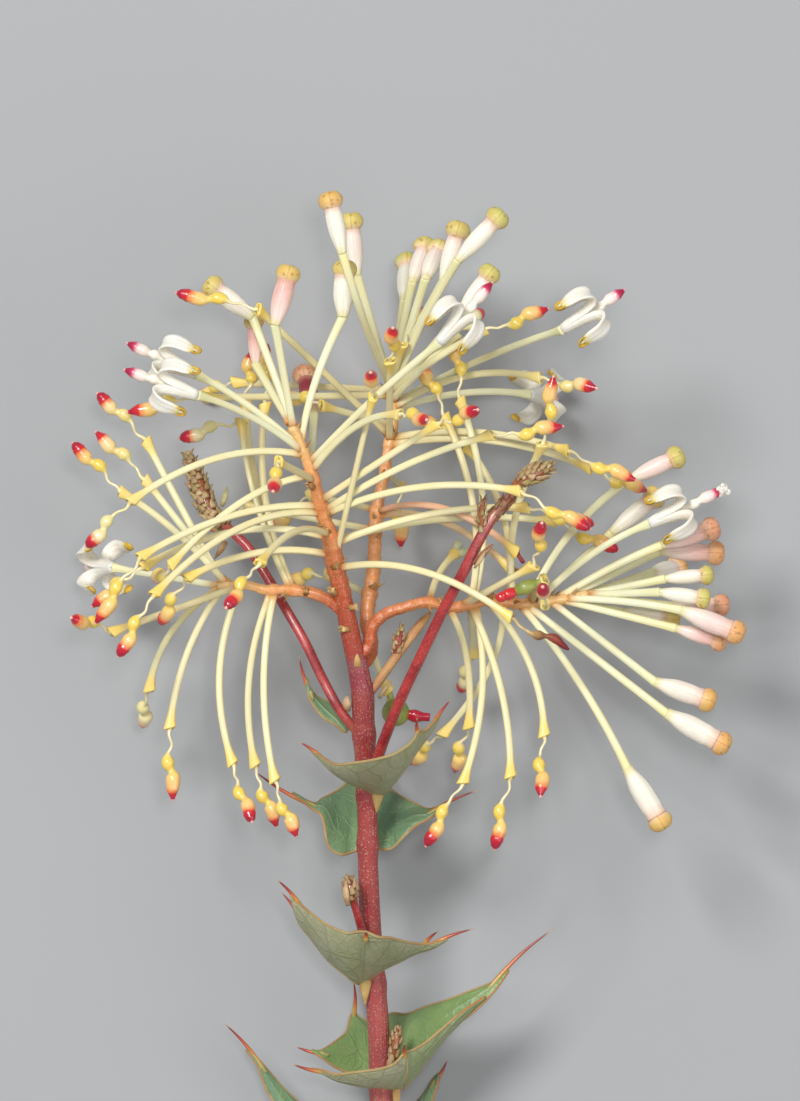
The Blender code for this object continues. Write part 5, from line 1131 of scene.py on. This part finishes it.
# along a tepal: half width and half thickness
tepalForm = [
    (0.0, 0.38, 0.16), (0.15, 0.58, 0.2), (0.4, 0.8, 0.24), (0.6, 0.95, 0.28), (0.78, 0.92, 0.28),
    (0.92, 0.74, 0.24), (1.0, 0.42, 0.16),
]
tepalCup = 0.4
# an anther cup: radius and height of its rings from the underside over the rim to the hollow
cupForm = [
    (0.24, -0.22), (0.42, -0.14), (0.54, 0.02), (0.56, 0.14), (0.51, 0.17), (0.42, 0.06), (0.24, -0.06),
]


def stalkPart(flower, kind, tone):
    # the quadratic curve of the solids, a swollen foot, and a squared trumpet with a slanting lip
    rows, last = flowerForm["stalkRows"]
    share = np.concatenate([np.linspace(0.0, 0.84, rows), np.linspace(0.86, 1.0, last)])
    path = stalkCurve(flower, share)
    fromRoot = lengthsAlong(path)
    toTorus = fromRoot[-1] - fromRoot
    flare = np.clip(1 - toTorus / flowerForm["flareLength"], 0.0, 1.0) ** flowerForm["flareExponent"]
    widest = flowerForm["flareRadius"][kind]
    thin, thick = flowerForm["budStalkRadii"]
    shaft = thin + (thick - thin) * share if kind == "bud" else np.full(len(path), flowerForm["stalkRadius"])
    radii = shaft + (flowerForm["footRadius"] - shaft) * np.exp(-(fromRoot / flowerForm["footLength"]) ** 2)
    radii = radii + (widest - radii) * flare
    mouth = np.array(flowerForm["mouth"])
    end = np.zeros(len(mouth))
    slant = np.concatenate([flare ** 2, mouth[:, 1]]) * flowerForm["slant"] * (kind == "spent")
    return sweep(np.vstack([path, path[-1] + unit(path[-1] - path[-2]) * mouth[:, :1]]),
                 np.concatenate([radii, widest * mouth[:, 1]]), flowerForm["stalkSides"], "stalk",
                 along=1 - np.concatenate([toTorus, end]) / 10, slant=slant, lobes=4,
                 depth=flowerForm["stalkSquare"] * (1 + 0.6 * np.concatenate([flare, end + 1])),
                 flat=flowerForm["stalkFlat"], tone=tone, across=flower["side"],
                 rib=np.concatenate([np.exp(-(fromRoot / 0.9) ** 2), end]))


def headPart(flower, form, slot, tone, phase, wave=0.0, along=None, rib=0.0):
    # centre = torus + axis s L + side offset(s) + a wave that dies out where the ovary starts
    keys = np.array(headForms[form])
    share = np.linspace(keys[0, 0], keys[-1, 0], flowerForm["headRows"])
    profile = smoothCurve(share, keys[:, 0], keys[:, 1:])
    turn = fullTurn * np.clip(share / 0.4, 0.0, 1.0)
    swing = wave * np.sin(turn / 2)[:, None] * (flower["side"] * np.sin(turn + phase)[:, None]
                                                + flower["up"] * np.cos(turn + phase * 2)[:, None])
    path = flower["torus"] + flower["axis"] * (share * flower["length"])[:, None]
    path = path + flower["side"] * profile[:, 1:2] + swing
    along = share if along is None else np.full(len(share), along)
    return sweep(path, profile[:, 0], flowerForm["headSides"], slot, along=along, tone=tone, rib=rib)


def ballPart(centre, radius, axis, slot, tone=0.0, lobes=0, depth=0.0, stretch=1.0, start=0.12, rows=14,
             sides=16, dimple=0.0, rib=0.0):
    # a sphere by its angle from the lower pole, drawn out along its axis by the stretch, its top pressed in
    # by dimple exp(-((pi - a) / 0.4)^2)
    angle = np.linspace(start, math.pi - 0.12, rows)
    ahead = -np.cos(angle) * stretch - dimple * np.exp(-((math.pi - angle) / 0.4) ** 2)
    return sweep(centre + axis * (ahead * radius)[:, None], np.sin(angle) * radius, sides, slot, tone=tone,
                 lobes=lobes, depth=depth * np.sin(angle), across=crossOf(axis)[0], rib=rib)


def budParts(flower, ballTone, tubeTone, plump):
    # a tube as wide as its form or the ball's neck, whichever is less, and the ball on its end
    keys = np.array(budForm)
    full = flower["fullness"] * plump
    share = np.linspace(0.0, keys[-1, 0], 28)
    ball = solidSizes["ball"] * min(flower["fullness"], 1.0)
    radii = np.minimum(smoothCurve(share, keys[:, 0], keys[:, 1]) * full, max(ball * 0.86, keys[8, 1] * full))
    return [sweep(flower["torus"] + flower["axis"] * (share * flower["length"])[:, None], radii, 20, "tube",
                  along=share / share[-1], lobes=4, depth=0.035 * np.sin(math.pi * share), tone=tubeTone,
                  across=flower["side"]),
            ballPart(flower["tip"], ball, flower["axis"], "ball", tone=ballTone, start=0.6, **bead)]


def tepalParts(flower):
    keys = np.array(tepalForm)
    parts = []
    for line, outward in tepalRuns(flower):
        across = unit(np.cross(flower["axis"], outward))
        t = np.linspace(0.0, len(line) - 1.0, 30)
        path = smoothCurve(t, np.arange(len(line)), line)
        share = t / t[-1]
        form = smoothCurve(share, keys[:, 0], keys[:, 1:])
        parts.append(sweep(path, form[:, 0], 16, "tepal", along=share, flat=form[:, 1] / form[:, 0],
                           cup=tepalCup * np.sin(math.pi * share)[:, None], across=across,
                           rib=np.clip((share - 0.9) / 0.1, 0.0, 1.0)))
        parts += cupParts(path[-1], unit(path[-1] - path[-2]), outward)
    return parts


def cupParts(centre, ahead, outward):
    # an oval cup at the end of a tepal, turned outwards, with a long cream anther lying in it
    facing = unit(outward - ahead * float(np.dot(outward, ahead)))
    profile = np.array(cupForm)
    angle = np.linspace(0.0, fullTurn, 16, endpoint=False)[:, None]
    wide = unit(np.cross(ahead, facing))
    ring = wide * np.cos(angle) + np.cross(facing, wide) * np.sin(angle) * 1.25
    rings = centre + ring[None] * profile[:, :1, None] + facing * profile[:, 1:, None]
    return [closedPart(rings, centre - facing * 0.25, centre - facing * 0.09,
                       np.linspace(0.0, 1.0, len(rings)), "anther"),
            ballPart(centre + facing * 0.04, 0.17, ahead, "anther", stretch=2.6, rows=8, sides=10, rib=1.0)]


def berryParts(flower):
    # a round green fruit that still carries its stout red style at one side and a small nub on top
    axis, tip = flower["axis"], flower["tip"]
    size = solidSizes["berry"]
    neck = np.linspace(0.0, 1.0, 6)[:, None] * (tip - flower["torus"]) + flower["torus"]
    style = np.array([(0.0, 0.0, 0.42), *solidHeads["berry style"]])
    style[-1, 2] = 0.3
    run, along = pathThrough(np.hstack([tip + style * (1.0, 1.0, 0.0), style[:, 2:]]), 0.12)
    nub = tip - axis * size * 0.93 + flower["side"] * 0.2
    return [sweep(neck, 0.34, 12, "fruit"),
            ballPart(tip, size, axis, "fruit", lobes=1, depth=0.03, rows=18, sides=22),
            ballPart(nub, 0.34, axis, "fruit", rows=9, sides=12, rib=1.0),
            sweep(run[:, :3], run[:, 3] * (1.25 + 0.12 * np.sin(along * 4.0)), 15, "pistil", lobes=3,
                  depth=0.06, along=0.86 + 0.1 * along / along[-1], tone=0.6)]


def pollenParts(flower, draw):
    # the pale crumbs of pollen that one presenter still carries
    parts = []
    for number in range(14):
        out = around(flower["side"], flower["up"], number * goldenTurn)
        centre = flower["tip"] + flower["axis"] * (0.2 - 0.06 * number) + out * draw.uniform(0.15, 0.42)
        parts.append(ballPart(centre, draw.uniform(0.24, 0.34), unit(out + flower["axis"]), "tepal",
                              lobes=3, depth=0.25, rows=8, sides=12))
    return parts


def bareEndParts(flower, end):
    # what is left beyond the torus of a fallen flower: a dark red stub, a torn brown rag or two pale lobes
    torus, axis, side = flower["torus"], flower["axis"], flower["side"]
    if end == "stub":
        path = torus + axis * np.linspace(0.0, 1.35, 8)[:, None]
        return [sweep(path, [0.30, 0.26, 0.22, 0.2, 0.2, 0.22, 0.22, 0.16], 10, "withered", flat=0.55,
                      along=np.linspace(0.66, 1.0, 8))]
    if end == "torn":
        share = np.linspace(0.0, 1.0, 5)[:, None]
        return [sweep(torus + axis * (share * reach) + side * (share * off),
                      [0.42, 0.36, 0.26, 0.18, 0.06], 9, "bract", flat=0.6, lobes=3, depth=0.2)
                for reach, off in ((0.9, 0.45), (0.7, -0.4), (1.0, 0.05))]
    return [ballPart(torus + axis * 0.55 + side * off, 0.48, unit(axis + side * off), "greenLobe",
                     stretch=1.5, rows=12, sides=14) for off in (0.42, -0.42)]


def flowerParts(flower, looks, draw):
    stage = flower["stage"]
    kind = "bud" if "bud" in stage else "open" if stage == "open" else "spent"
    tone = draw.uniform(0.30, 0.60) if kind == "spent" else draw.uniform(0.0, 0.22)
    pale = looks.get("pale", 0.0)
    parts = [stalkPart(flower, kind, looks.get("salmon", tone * (1 - 0.4 * pale)))]
    phase = draw.uniform(0.0, 6.28)
    ripe = draw.uniform(0.0, 1.0)
    # the forms along the head, with their slot and what is set for them
    heads = {"open": [("open", "whitePistil", {})], "withered": [("withered", "withered", {"wave": 0.12})],
             "green fruit": [("green fruit", "fruit", {}), ("fruit style", "pistil", {"along": 0.9})],
             "spent": [("blunt" if ripe > 0.62 else "spent", "pistil",
                        {"wave": flowerForm["wave"], "rib": pale})]}
    parts += [headPart(flower, form, slot, ripe, phase, **extra)
              for form, slot, extra in heads.get(stage, [])]
    if kind == "bud":
        parts += budParts(flower, looks["ball"], looks["tube"], looks.get("plump", 1.0))
    elif stage == "open":
        parts += tepalParts(flower)
    elif stage == "berry":
        parts += berryParts(flower)
    elif stage == "bare torus":
        parts += bareEndParts(flower, looks.get("end", "lobes"))
    return parts + (pollenParts(flower, draw) if looks.get("pollen") else [])


def knobPart(place, ahead, pale):
    # a small torn knob with a ragged cup at its end
    path = np.array(place) + unit(np.array(ahead)) * np.array([-0.45, 0.0, 0.25, 0.42, 0.34])[:, None]
    ragged = np.array([0.0, 0.05, 0.3, 0.5, 0.3])
    return sweep(path, [0.36, 0.26, 0.3, 0.3, 0.1], 15, "bract", lobes=5, depth=ragged,
                 slant=ragged * 0.4, rib=np.array([0.0, 0.3, 0.7, 1.0, 0.6]) * pale)


def rachisParts(raceme, flowers, draw):
    # the stalk of the raceme, a nodule under each flower, bract stubs between them and torn knobs
    run, along = pathThrough([raceme["join"]] + raceme["rachis"], 0.2)
    feet = np.array([flower["centre"] for flower in flowers])
    nearest = np.linalg.norm(run[None, :, :3] - feet[:, None], axis=2).argmin(axis=1)
    swell = np.exp(-((along[None] - along[nearest][:, None]) / flowerForm["noduleLength"]) ** 2).max(axis=0)
    rough = 0.03 * np.sin(along * 5.3) + 0.02 * np.sin(along * 11.7 + 1.0)
    tangent, side, up = ringFrames(run[:, :3])
    fade = raceme["yellow"] + 1.4 * np.clip(1 - (along[-1] - along) / raceme["creamEnd"], 0.0, 1.0)
    parts = [sweep(run[:, :3], roundEnds(run[:, 3], along, 0.5) + flowerForm["nodule"] * swell + rough, 22,
                   "rachis", along=along * 0.02, lobes=5, depth=0.05, tone=fade,
                   rib=np.exp(-(along / raceme["redRoot"]) ** 2))]
    t = np.linspace(0.0, 1.0, 7)[:, None]
    for place in nearest:
        if draw.uniform() > flowerForm["stubs"]:
            continue
        angle = draw.uniform(0.0, fullTurn)
        spot = int(np.clip(place + draw.integers(-6, 6), 8, len(run) - 4))
        outward = around(side[spot], up[spot], angle)
        path = run[spot, :3] + outward * (run[spot, 3] * 0.7 + 0.85 * t) + tangent[spot] * (0.5 * t ** 2)
        parts.append(sweep(path, 0.36 * (1.04 - t[:, 0]), 9, "bract", flat=0.6, along=t[:, 0],
                           across=np.cross(tangent[spot], outward), rib=draw.uniform(0.0, 0.5)))
    return parts + [knobPart(*knob) for knob in raceme["knobs"]]


def racemeParts(raceme, flowers):
    draw = np.random.default_rng(flowerForm["seed"] + len(flowers))
    parts = rachisParts(raceme, flowers, draw)
    tones = iter(zip(raceme["ballTones"], raceme["tubeTones"]))
    for number, flower in enumerate(flowers):
        looks = dict(raceme["looks"].get(number, {}))
        if "bud" in flower["stage"]:
            looks["ball"], looks["tube"] = next(tones)
        parts += flowerParts(flower, looks, draw)
    return parts


# Leaves: pairs of points on the lower and the upper margin, from the left tip to the right tip, and the
# finish's tones of each sheet's front and back

leaves = {
    "leaf_a": {
        "sheets": [
            [
                ((-8.2, -5.7, 22.4), (-8, -5.5, 23)), ((-6.7, -7.2, 22), (-6.4, -6.35, 25.4)),
                ((-5, -8.3, 20.9), (-4.7, -6.2, 27)), ((-3.5, -8.9, 19.5), (-3.3, -6, 27.8)),
                ((-1.9, -9.5, 18.7), (-1.9, -5.7, 28.2)), ((-0.8, -8.5, 20), (-0.6, -5.3, 28)),
                ((0.2, -7.2, 21.8), (0.7, -4.5, 27.3)), ((1.2, -5.7, 22.8), (1.4, -3.8, 26.8)),
                ((1.9, -4.8, 23.2), (1.8, -3, 26.9)), ((2.4, -4.1, 23.4), (2.4, -3, 26.2)),
                ((3.5, -2.6, 23.8), (3.3, -2.2, 25.2)),
            ],
        ],
        "spines": [
            ((-7.9, -5.7, 22.7), (-10, -4.2, 22)), ((3.2, -2.6, 24.5), (5.1, 0.1, 24)),
            ((1.8, -3.4, 26.4), (1.7, -1.7, 28)),
        ],
        "tones": [(0, 1)], "keels": [4],
    },
    "leaf_b": {
        "sheets": [
            [
                ((-8.9, -10.9, 15.5), (-8.7, -10.4, 14.6)), ((-7.8, -11.8, 15.8), (-7.7, -9.9, 12.8)),
                ((-7.2, -14.6, 16), (-6.6, -9.4, 11)), ((-6, -15.5, 15.6), (-5.5, -8.6, 9)),
                ((-4.8, -15.3, 14.8), (-4.6, -7.6, 7)), ((-3.2, -14.7, 14.95), (-3.2, -6.6, 5.6)),
                ((-2, -15, 15.1), (-1.9, -7.8, 7)), ((-0.8, -14.9, 15.2), (-0.8, -9.2, 9.4)),
                ((0.2, -13.9, 15.8), (0.3, -9.9, 11.4)), ((1.5, -12.7, 15.8), (1.6, -10.5, 13.4)),
                ((2.8, -12, 15.6), (2.9, -11, 14.8)),
            ],
        ],
        "spines": [
            ((-8.6, -10.7, 15.1), (-14.8, -7, 15.5)), ((2.7, -11.6, 15.2), (7.8, -9.1, 15.4)),
            ((-3.2, -7.4, 6.6), (-3.2, -4.9, 4)),
        ],
        "tones": [(1, 0)], "keels": [5],
    },
    "leaf_c": {
        "sheets": [
            [
                ((-10.2, -22.2, 17), (-10.3, -20.2, 18.2)), ((-8.7, -24.2, 17.2), (-8.8, -21.4, 20)),
                ((-7.2, -26.1, 16.9), (-7.2, -22.5, 21.5)), ((-5.6, -27.5, 16.6), (-5.4, -23.2, 22.8)),
                ((-4.6, -28.3, 15.6), (-4.4, -23.1, 23.6)), ((-3.95, -28.5, 14.6), (-3.4, -23.1, 24)),
                ((-2.9, -27.9, 15.45), (-2.2, -23.6, 23.8)), ((-1.6, -27, 16.1), (-1, -23.7, 23)),
                ((0, -26.2, 17.4), (0.4, -24.1, 21.5)), ((1.6, -25.4, 18), (1.9, -24.4, 19.8)),
                ((3.2, -24.9, 18.4), (3.3, -24.3, 19)),
            ],
        ],
        "spines": [
            ((-10, -20.6, 18), (-12.3, -18, 18.6)), ((-9.9, -22.1, 17.2), (-11.9, -19.3, 16.2)),
            ((3, -24.6, 18.7), (7.4, -22.9, 19)), ((2.3, -24.6, 18.7), (3.8, -23.2, 17.5)),
            ((-3.4, -23.8, 23.6), (-3.2, -21.6, 25.6)),
        ],
        "tones": [(0, 1)], "keels": [5], "low": [4],
    },
    "leaf_d": {
        "sheets": [
            [
                ((-8, -36, 10.5), (-8, -35.4, 10)), ((-6.6, -37, 10), (-6.6, -34.6, 8.5)),
                ((-5.2, -37.6, 9.4), (-5.4, -33.6, 6.5)), ((-4, -37.6, 8.9), (-4.8, -31.9, 3.9)),
                ((-2.6, -37.6, 8.6), (-3.4, -32.6, 3.8)), ((-1, -38, 9), (-2, -32.4, 4.4)),
                ((0.4, -38.4, 10.6), (-0.8, -31.8, 5.7)), ((1.6, -37, 11.4), (0.7, -31.8, 7.5)),
                ((3.4, -35.2, 12.4), (2.6, -31, 9.5)), ((5, -33.2, 13), (4.7, -30.3, 11.2)),
                ((7.4, -31.4, 13.2), (7.2, -29.3, 12.2)), ((9.4, -29.4, 13.2), (9.4, -28.4, 12.7)),
            ],
            [
                ((-8, -37.4, 14.1), (-7.8, -37.2, 14.8)), ((-6.5, -38.2, 14), (-6.4, -37.6, 15.4)),
                ((-5, -38.6, 13.9), (-4.9, -37.4, 16.2)), ((-3.4, -38.9, 13.7), (-3.4, -37.2, 16.8)),
                ((-2, -38.95, 13.6), (-2, -37, 17)), ((-0.6, -39.1, 12.6), (-0.6, -36.5, 16.8)),
                ((0.4, -39, 12.6), (0.5, -35.4, 16.2)), ((1.4, -38, 12.2), (1.2, -35.2, 15.4)),
                ((2.8, -36.2, 12.3), (2.6, -34.4, 14.9)), ((4.4, -34.2, 12.7), (4.4, -32.9, 14.6)),
                ((6.2, -32.3, 13.1), (6.2, -31.4, 14.1)),
            ],
        ],
        "spines": [
            ((9, -29, 12.9), (15.5, -23, 13)), ((-4.7, -32.2, 4.2), (-4.7, -28.6, 1.3)),
            ((-7.8, -35.7, 10.2), (-10.5, -35, 10)), ((-7.6, -37.4, 14.5), (-10.8, -36.6, 14.5)),
            ((0.5, -35.9, 15.9), (0.5, -34.4, 17.4)),
        ],
        # crease: sheet, row, and the darker tone of the front beyond it, partly the underside's colour and
        # partly painted shade
        "tones": [(0.62, 0), (0, 1)], "keels": [6, 5], "crease": (1, 6, 0.22),
        "ends": {1: (8.6, -29.9, 13.4)},
    },
    "leaf_e": {
        "sheets": [
            [
                ((-14.4, -37, 7.4), (-13.9, -36.8, 7.2)), ((-13.2, -39.9, 7), (-11.2, -39.9, 5.9)),
                ((-10.8, -43.2, 6.6), (-8.6, -41.8, 4.4)), ((-8, -45.6, 6.7), (-6, -42.8, 2.6)),
                ((-5, -46.8, 7), (-3.6, -42.4, 0.4)), ((-1.8, -47.2, 7.6), (-1.6, -42.2, -0.6)),
                ((0.6, -46, 7.2), (0.2, -41.9, 0.6)), ((2.2, -43.6, 7), (1.3, -41.2, 3.6)),
                ((3.1, -40.9, 7.1), (2.4, -39.9, 6)), ((3.8, -38.9, 7.5), (3.3, -38.4, 7)),
            ],
        ],
        "spines": [((-13.9, -37.2, 7.3), (-17.8, -32.7, 7)), ((3.4, -38.8, 7.2), (4.8, -36.4, 7.5))],
        "tones": [(1, 0)], "keels": [5],
    },
    "leaf_f": {
        "sheets": [
            [
                ((-9.2, 0.6, 18), (-9, 1.2, 17.8)), ((-8.6, -0.6, 18), (-8.3, 0.3, 17.2)),
                ((-7.6, -1.8, 18), (-6.9, -0.4, 16.8)), ((-6.6, -2.4, 18), (-5.9, -0.9, 16.6)),
                ((-5.5, -3.2, 17.9), (-5.2, -1.9, 17)),
            ],
        ],
        "spines": [((-8.9, 0.6, 17.9), (-10.1, 4.3, 16.6))], "tones": [(1, 0)], "keels": [4],
    },
}
leafForm = {
    "rows": 96, "steps": 24, "thickness": 0.26, "margin": 0.155, "ribWidth": 0.12, "ribHeight": 0.05,
    "spine": [(-0.7, 0.1), (0.0, 0.27), (0.2, 0.24), (0.45, 0.18), (0.7, 0.12), (0.9, 0.07), (1.0, 0.035)],
    "spineSides": 12, "spineBow": 0.04, "seed": 3, "resting": 0.16, "drawn": (0.4, 2.6, 0.1),
    "lowReach": 0.35,
}


# Finer leaves: a thin blade with raised ribs, corded margins and horny spines

def sheetNormals(grid):
    normal = unit(np.cross(np.gradient(grid, axis=0), np.gradient(grid, axis=1)))
    for _ in range(20):
        beside = np.concatenate([normal[:1], normal, normal[-1:]])
        normal = unit(beside[:-2] + 2 * beside[1:-1] + beside[2:])
    return normal


def ribMask(grid, keelRow, feet):
    # exp(-(d / width)^2), with d the way to the nearest line on the blade from the keel to a spine's foot
    rows, steps = grid.shape[:2]
    u = np.linspace(0.0, 1.0, 60)
    lines = []
    for foot in feet:
        row, step = np.unravel_index(np.linalg.norm(grid - foot, axis=2).argmin(), (rows, steps))
        i = keelRow + (row - keelRow) * u
        j = 1 + (step - 1) * u ** 0.8
        low, left = np.clip(i.astype(int), 0, rows - 2), np.clip(j.astype(int), 0, steps - 2)
        a, b = (i - low)[:, None], (j - left)[:, None]
        lines.append((grid[low, left] * (1 - b) + grid[low, left + 1] * b) * (1 - a)
                     + (grid[low + 1, left] * (1 - b) + grid[low + 1, left + 1] * b) * a)
    near = np.linalg.norm(grid[:, :, None] - np.vstack(lines)[None, None], axis=3).min(axis=2)
    return np.exp(-(near / leafForm["ribWidth"]) ** 2)


def drawnOut(columns, spines, farEnd):
    # the blade narrows on along its spines at both ends, or to the far end that is given
    share, longest, halfWidth = leafForm["drawn"]
    columns = [(np.array(lower), np.array(upper)) for lower, upper in columns]
    grown = []
    for end, beside in ((0, 1), (-1, -2)):
        lower, upper = columns[end]
        middle = (lower + upper) / 2
        foot, tip = min((np.array(spine) for spine in spines),
                        key=lambda spine: np.linalg.norm(spine[0] - middle))
        point = foot + unit(tip - foot) * min(share * np.linalg.norm(tip - foot), longest)
        if np.linalg.norm(foot - middle) > 1.5:
            point = middle + unit(middle - columns[beside][0]) * 0.3
        if end and farEnd is not None:
            point = np.array(farEnd)
        half = unit(upper - lower) * halfWidth
        grown.append((point - half, point + half))
    return [grown[0], *columns, grown[1]]


def leafSheetParts(columns, tones, keel, feet, crease=None):
    # point = lower (1-s) + upper s + normal 4 s (1-s) bulge, then half the thickness to either side
    keys = np.arange(len(columns))
    rows = leafForm["rows"]
    t = np.linspace(0.0, len(columns) - 1.0, rows)
    lower, upper = (smoothCurve(t, keys, edge) for edge in zip(*columns))
    s = np.linspace(0.0, 1.0, leafForm["steps"])[None, :, None]
    grid = lower[:, None] * (1 - s) + upper[:, None] * s
    width = np.linalg.norm(upper - lower, axis=1)[:, None, None]
    bulge = np.minimum(solidSizes["leafBulge"], width * solidSizes["bulgeShare"])
    grid = grid + sheetNormals(grid) * bulge * 4 * s * (1 - s)
    grid[..., 2] = np.maximum(grid[..., 2], leafForm["resting"])
    normal = sheetNormals(grid)
    ribs = ribMask(grid, keel / keys[-1] * (rows - 1), feet)
    half = leafForm["thickness"] / 2 * np.sqrt(np.maximum(1 - (2 * s - 1) ** 8, 0.02))
    half = half + ribs[..., None] * leafForm["ribHeight"]
    rings = np.concatenate([(grid + normal * half)[:, ::-1], grid - normal * half], axis=1)
    front = np.full(ribs.shape, float(tones[0]))
    share = t / t[-1]
    parts = []
    # the front beyond the crease row takes the crease's darker tone, partly the underside's colour and partly
    # painted shade
    if crease is not None:
        row = int(crease[0] / keys[-1] * (rows - 1))
        front[row:] = crease[1]
        parts.append(sweep(grid[row, 1:-1] + normal[row, 1:-1] * 0.12, 0.09, 8, "margin"))
    tone = np.concatenate([front, np.full(ribs.shape, float(tones[1]))], axis=1)
    rib = np.concatenate([ribs[:, ::-1], ribs], axis=1)
    parts.insert(0, closedPart(rings, grid[0].mean(axis=0), grid[-1].mean(axis=0), share, "leaf", tone, rib))
    taper = leafForm["margin"] * (0.75 + 0.25 * np.sin(math.pi * share))
    return parts + [sweep(margin, taper, 8, "margin", along=share, rib=np.abs(2 * share - 1) ** 3)
                    for margin in (grid[:, 0], grid[:, -1])]


def spinePart(foot, tip, draw):
    # foot to tip with a slight bow, its root a little inside the blade
    side = crossOf(unit(tip - foot))[0]
    reach = float(np.linalg.norm(tip - foot))
    t = np.linspace(-0.7 / reach, 1.0, 26)
    bow = leafForm["spineBow"] * reach * np.sin(math.pi * np.clip(t, 0.0, 1.0))
    path = foot + (tip - foot) * t[:, None] + side * (bow * draw.choice([-1, 1]))[:, None]
    keys = np.array(leafForm["spine"])
    keys[0, 0] /= reach
    return sweep(path, np.interp(t, keys[:, 0], keys[:, 1]), leafForm["spineSides"], "spine",
                 along=np.clip(t, 0.0, 1.0))


def leafParts(leaf, draw):
    feet = [np.array(foot) for foot, _ in leaf["spines"]]
    parts = []
    # beyond the crease the sheet's front takes a darker tone: partly the underside's olive, partly painted
    # shade
    creased, row, darker = leaf.get("crease", (-1, 0, 0.0))
    for number, (columns, tones, keel) in enumerate(zip(leaf["sheets"], leaf["tones"], leaf["keels"])):
        columns = drawnOut(columns, leaf["spines"], leaf.get("ends", {}).get(number))
        crease = (row + 1, darker) if number == creased else None
        parts += leafSheetParts(columns, tones, keel + 1, feet, crease)
    for number, (foot, tip) in enumerate(leaf["spines"]):
        reach = leafForm["lowReach"] if number in leaf.get("low", []) else 1.0
        foot = np.array(foot)
        parts.append(spinePart(foot, foot + (np.array(tip) - foot) * reach, draw))
    return parts


# The pieces

makePiece("stemPiece", stemParts(), stemSlots, "stem")
plan = planFlowers()
print("planned", sum(len(flowers) for flowers in plan.values()), "flowers")
for name, raceme in racemes.items():
    makePiece(name.split("_")[1] + "Raceme", racemeParts(raceme, plan[name]), flowerSlots, name)
leafDraw = np.random.default_rng(leafForm["seed"])
for name, leaf in leaves.items():
    makePiece("leaf" + name[-1].upper(), leafParts(leaf, leafDraw), leafSlots, name)


# Floor, light and camera; a light has its name, place, size and power

studio = {
    "floorSide": 3.0, "floorColour": (0.34, 0.345, 0.35), "cameraCentre": (-0.0009, 0.01414, 0.02),
    "cameraDistance": 1.48, "photoHeight": 0.1101, "sensor": 24.0,
    "lights": [
        ("keyLight", (-0.4, 0.45, 1.05), 0.35, 12.0), ("fillLight", (0.7, -0.3, 0.8), 0.8, 3.0),
        ("frontLight", (0.05, 0.08, 1.3), 0.12, 3.5),
    ],
    "skyStrength": 0.36, "viewTransform": "Standard", "skyColour": (0.95, 0.97, 1.0),
}


def addObject(name, data, place=(0.0, 0.0, 0.0)):
    thing = bpy.data.objects.new(name, data)
    thing.location = place
    bpy.context.scene.collection.objects.link(thing)
    return thing


def makeFloor():
    half = studio["floorSide"] / 2
    mesh = bpy.data.meshes.new("paleFloor")
    corners = [(-half, -half, 0), (half, -half, 0), (half, half, 0), (-half, half, 0)]
    mesh.from_pydata(corners, [], [(0, 1, 2, 3)])
    paint = Finish("floorPale", 0.75, (9.0, 900.0, 0.00001), level=0.2)
    tint = studio["floorColour"]
    paint.base = paint.mix(paint.math("MULTIPLY", paint.patches, 0.2), tint, tuple(0.94 * c for c in tint))
    paint.fill(paint.shader["Base Color"], paint.base)
    mesh.materials.append(paint.material)
    addObject("paleFloor", mesh)


def makeLights():
    for name, place, size, power in studio["lights"]:
        lamp = bpy.data.lights.new(name, "AREA")
        lamp.shape = "DISK"
        lamp.size = size
        lamp.energy = power
        aim = np.array(studio["cameraCentre"]) - np.array(place)
        tilt = math.acos(-aim[2] / np.linalg.norm(aim))
        addObject(name, lamp, place).rotation_euler = (tilt, 0.0, math.atan2(aim[1], aim[0]) - math.pi / 2)
    world = bpy.data.worlds.new("softRoom")
    world.use_nodes = True
    sky = world.node_tree.nodes["Background"].inputs
    sky["Color"].default_value = (*studio["skyColour"], 1.0)
    sky["Strength"].default_value = studio["skyStrength"]
    bpy.context.scene.world = world
    bpy.context.scene.view_settings.view_transform = studio["viewTransform"]


def makeCamera():
    # straight above the photo's centre, with a long lens whose frame is the photo's height at the flowers
    lens = bpy.data.cameras.new("photoCamera")
    lens.sensor_fit = "VERTICAL"
    lens.sensor_height = studio["sensor"]
    lens.lens = studio["sensor"] * studio["cameraDistance"] / studio["photoHeight"]
    lens.clip_start = 0.05
    x, y, z = studio["cameraCentre"]
    bpy.context.scene.camera = addObject("photoCamera", lens, (x, y, z + studio["cameraDistance"]))


makeFloor()
makeLights()
makeCamera()
print("floor, lights and camera ready")
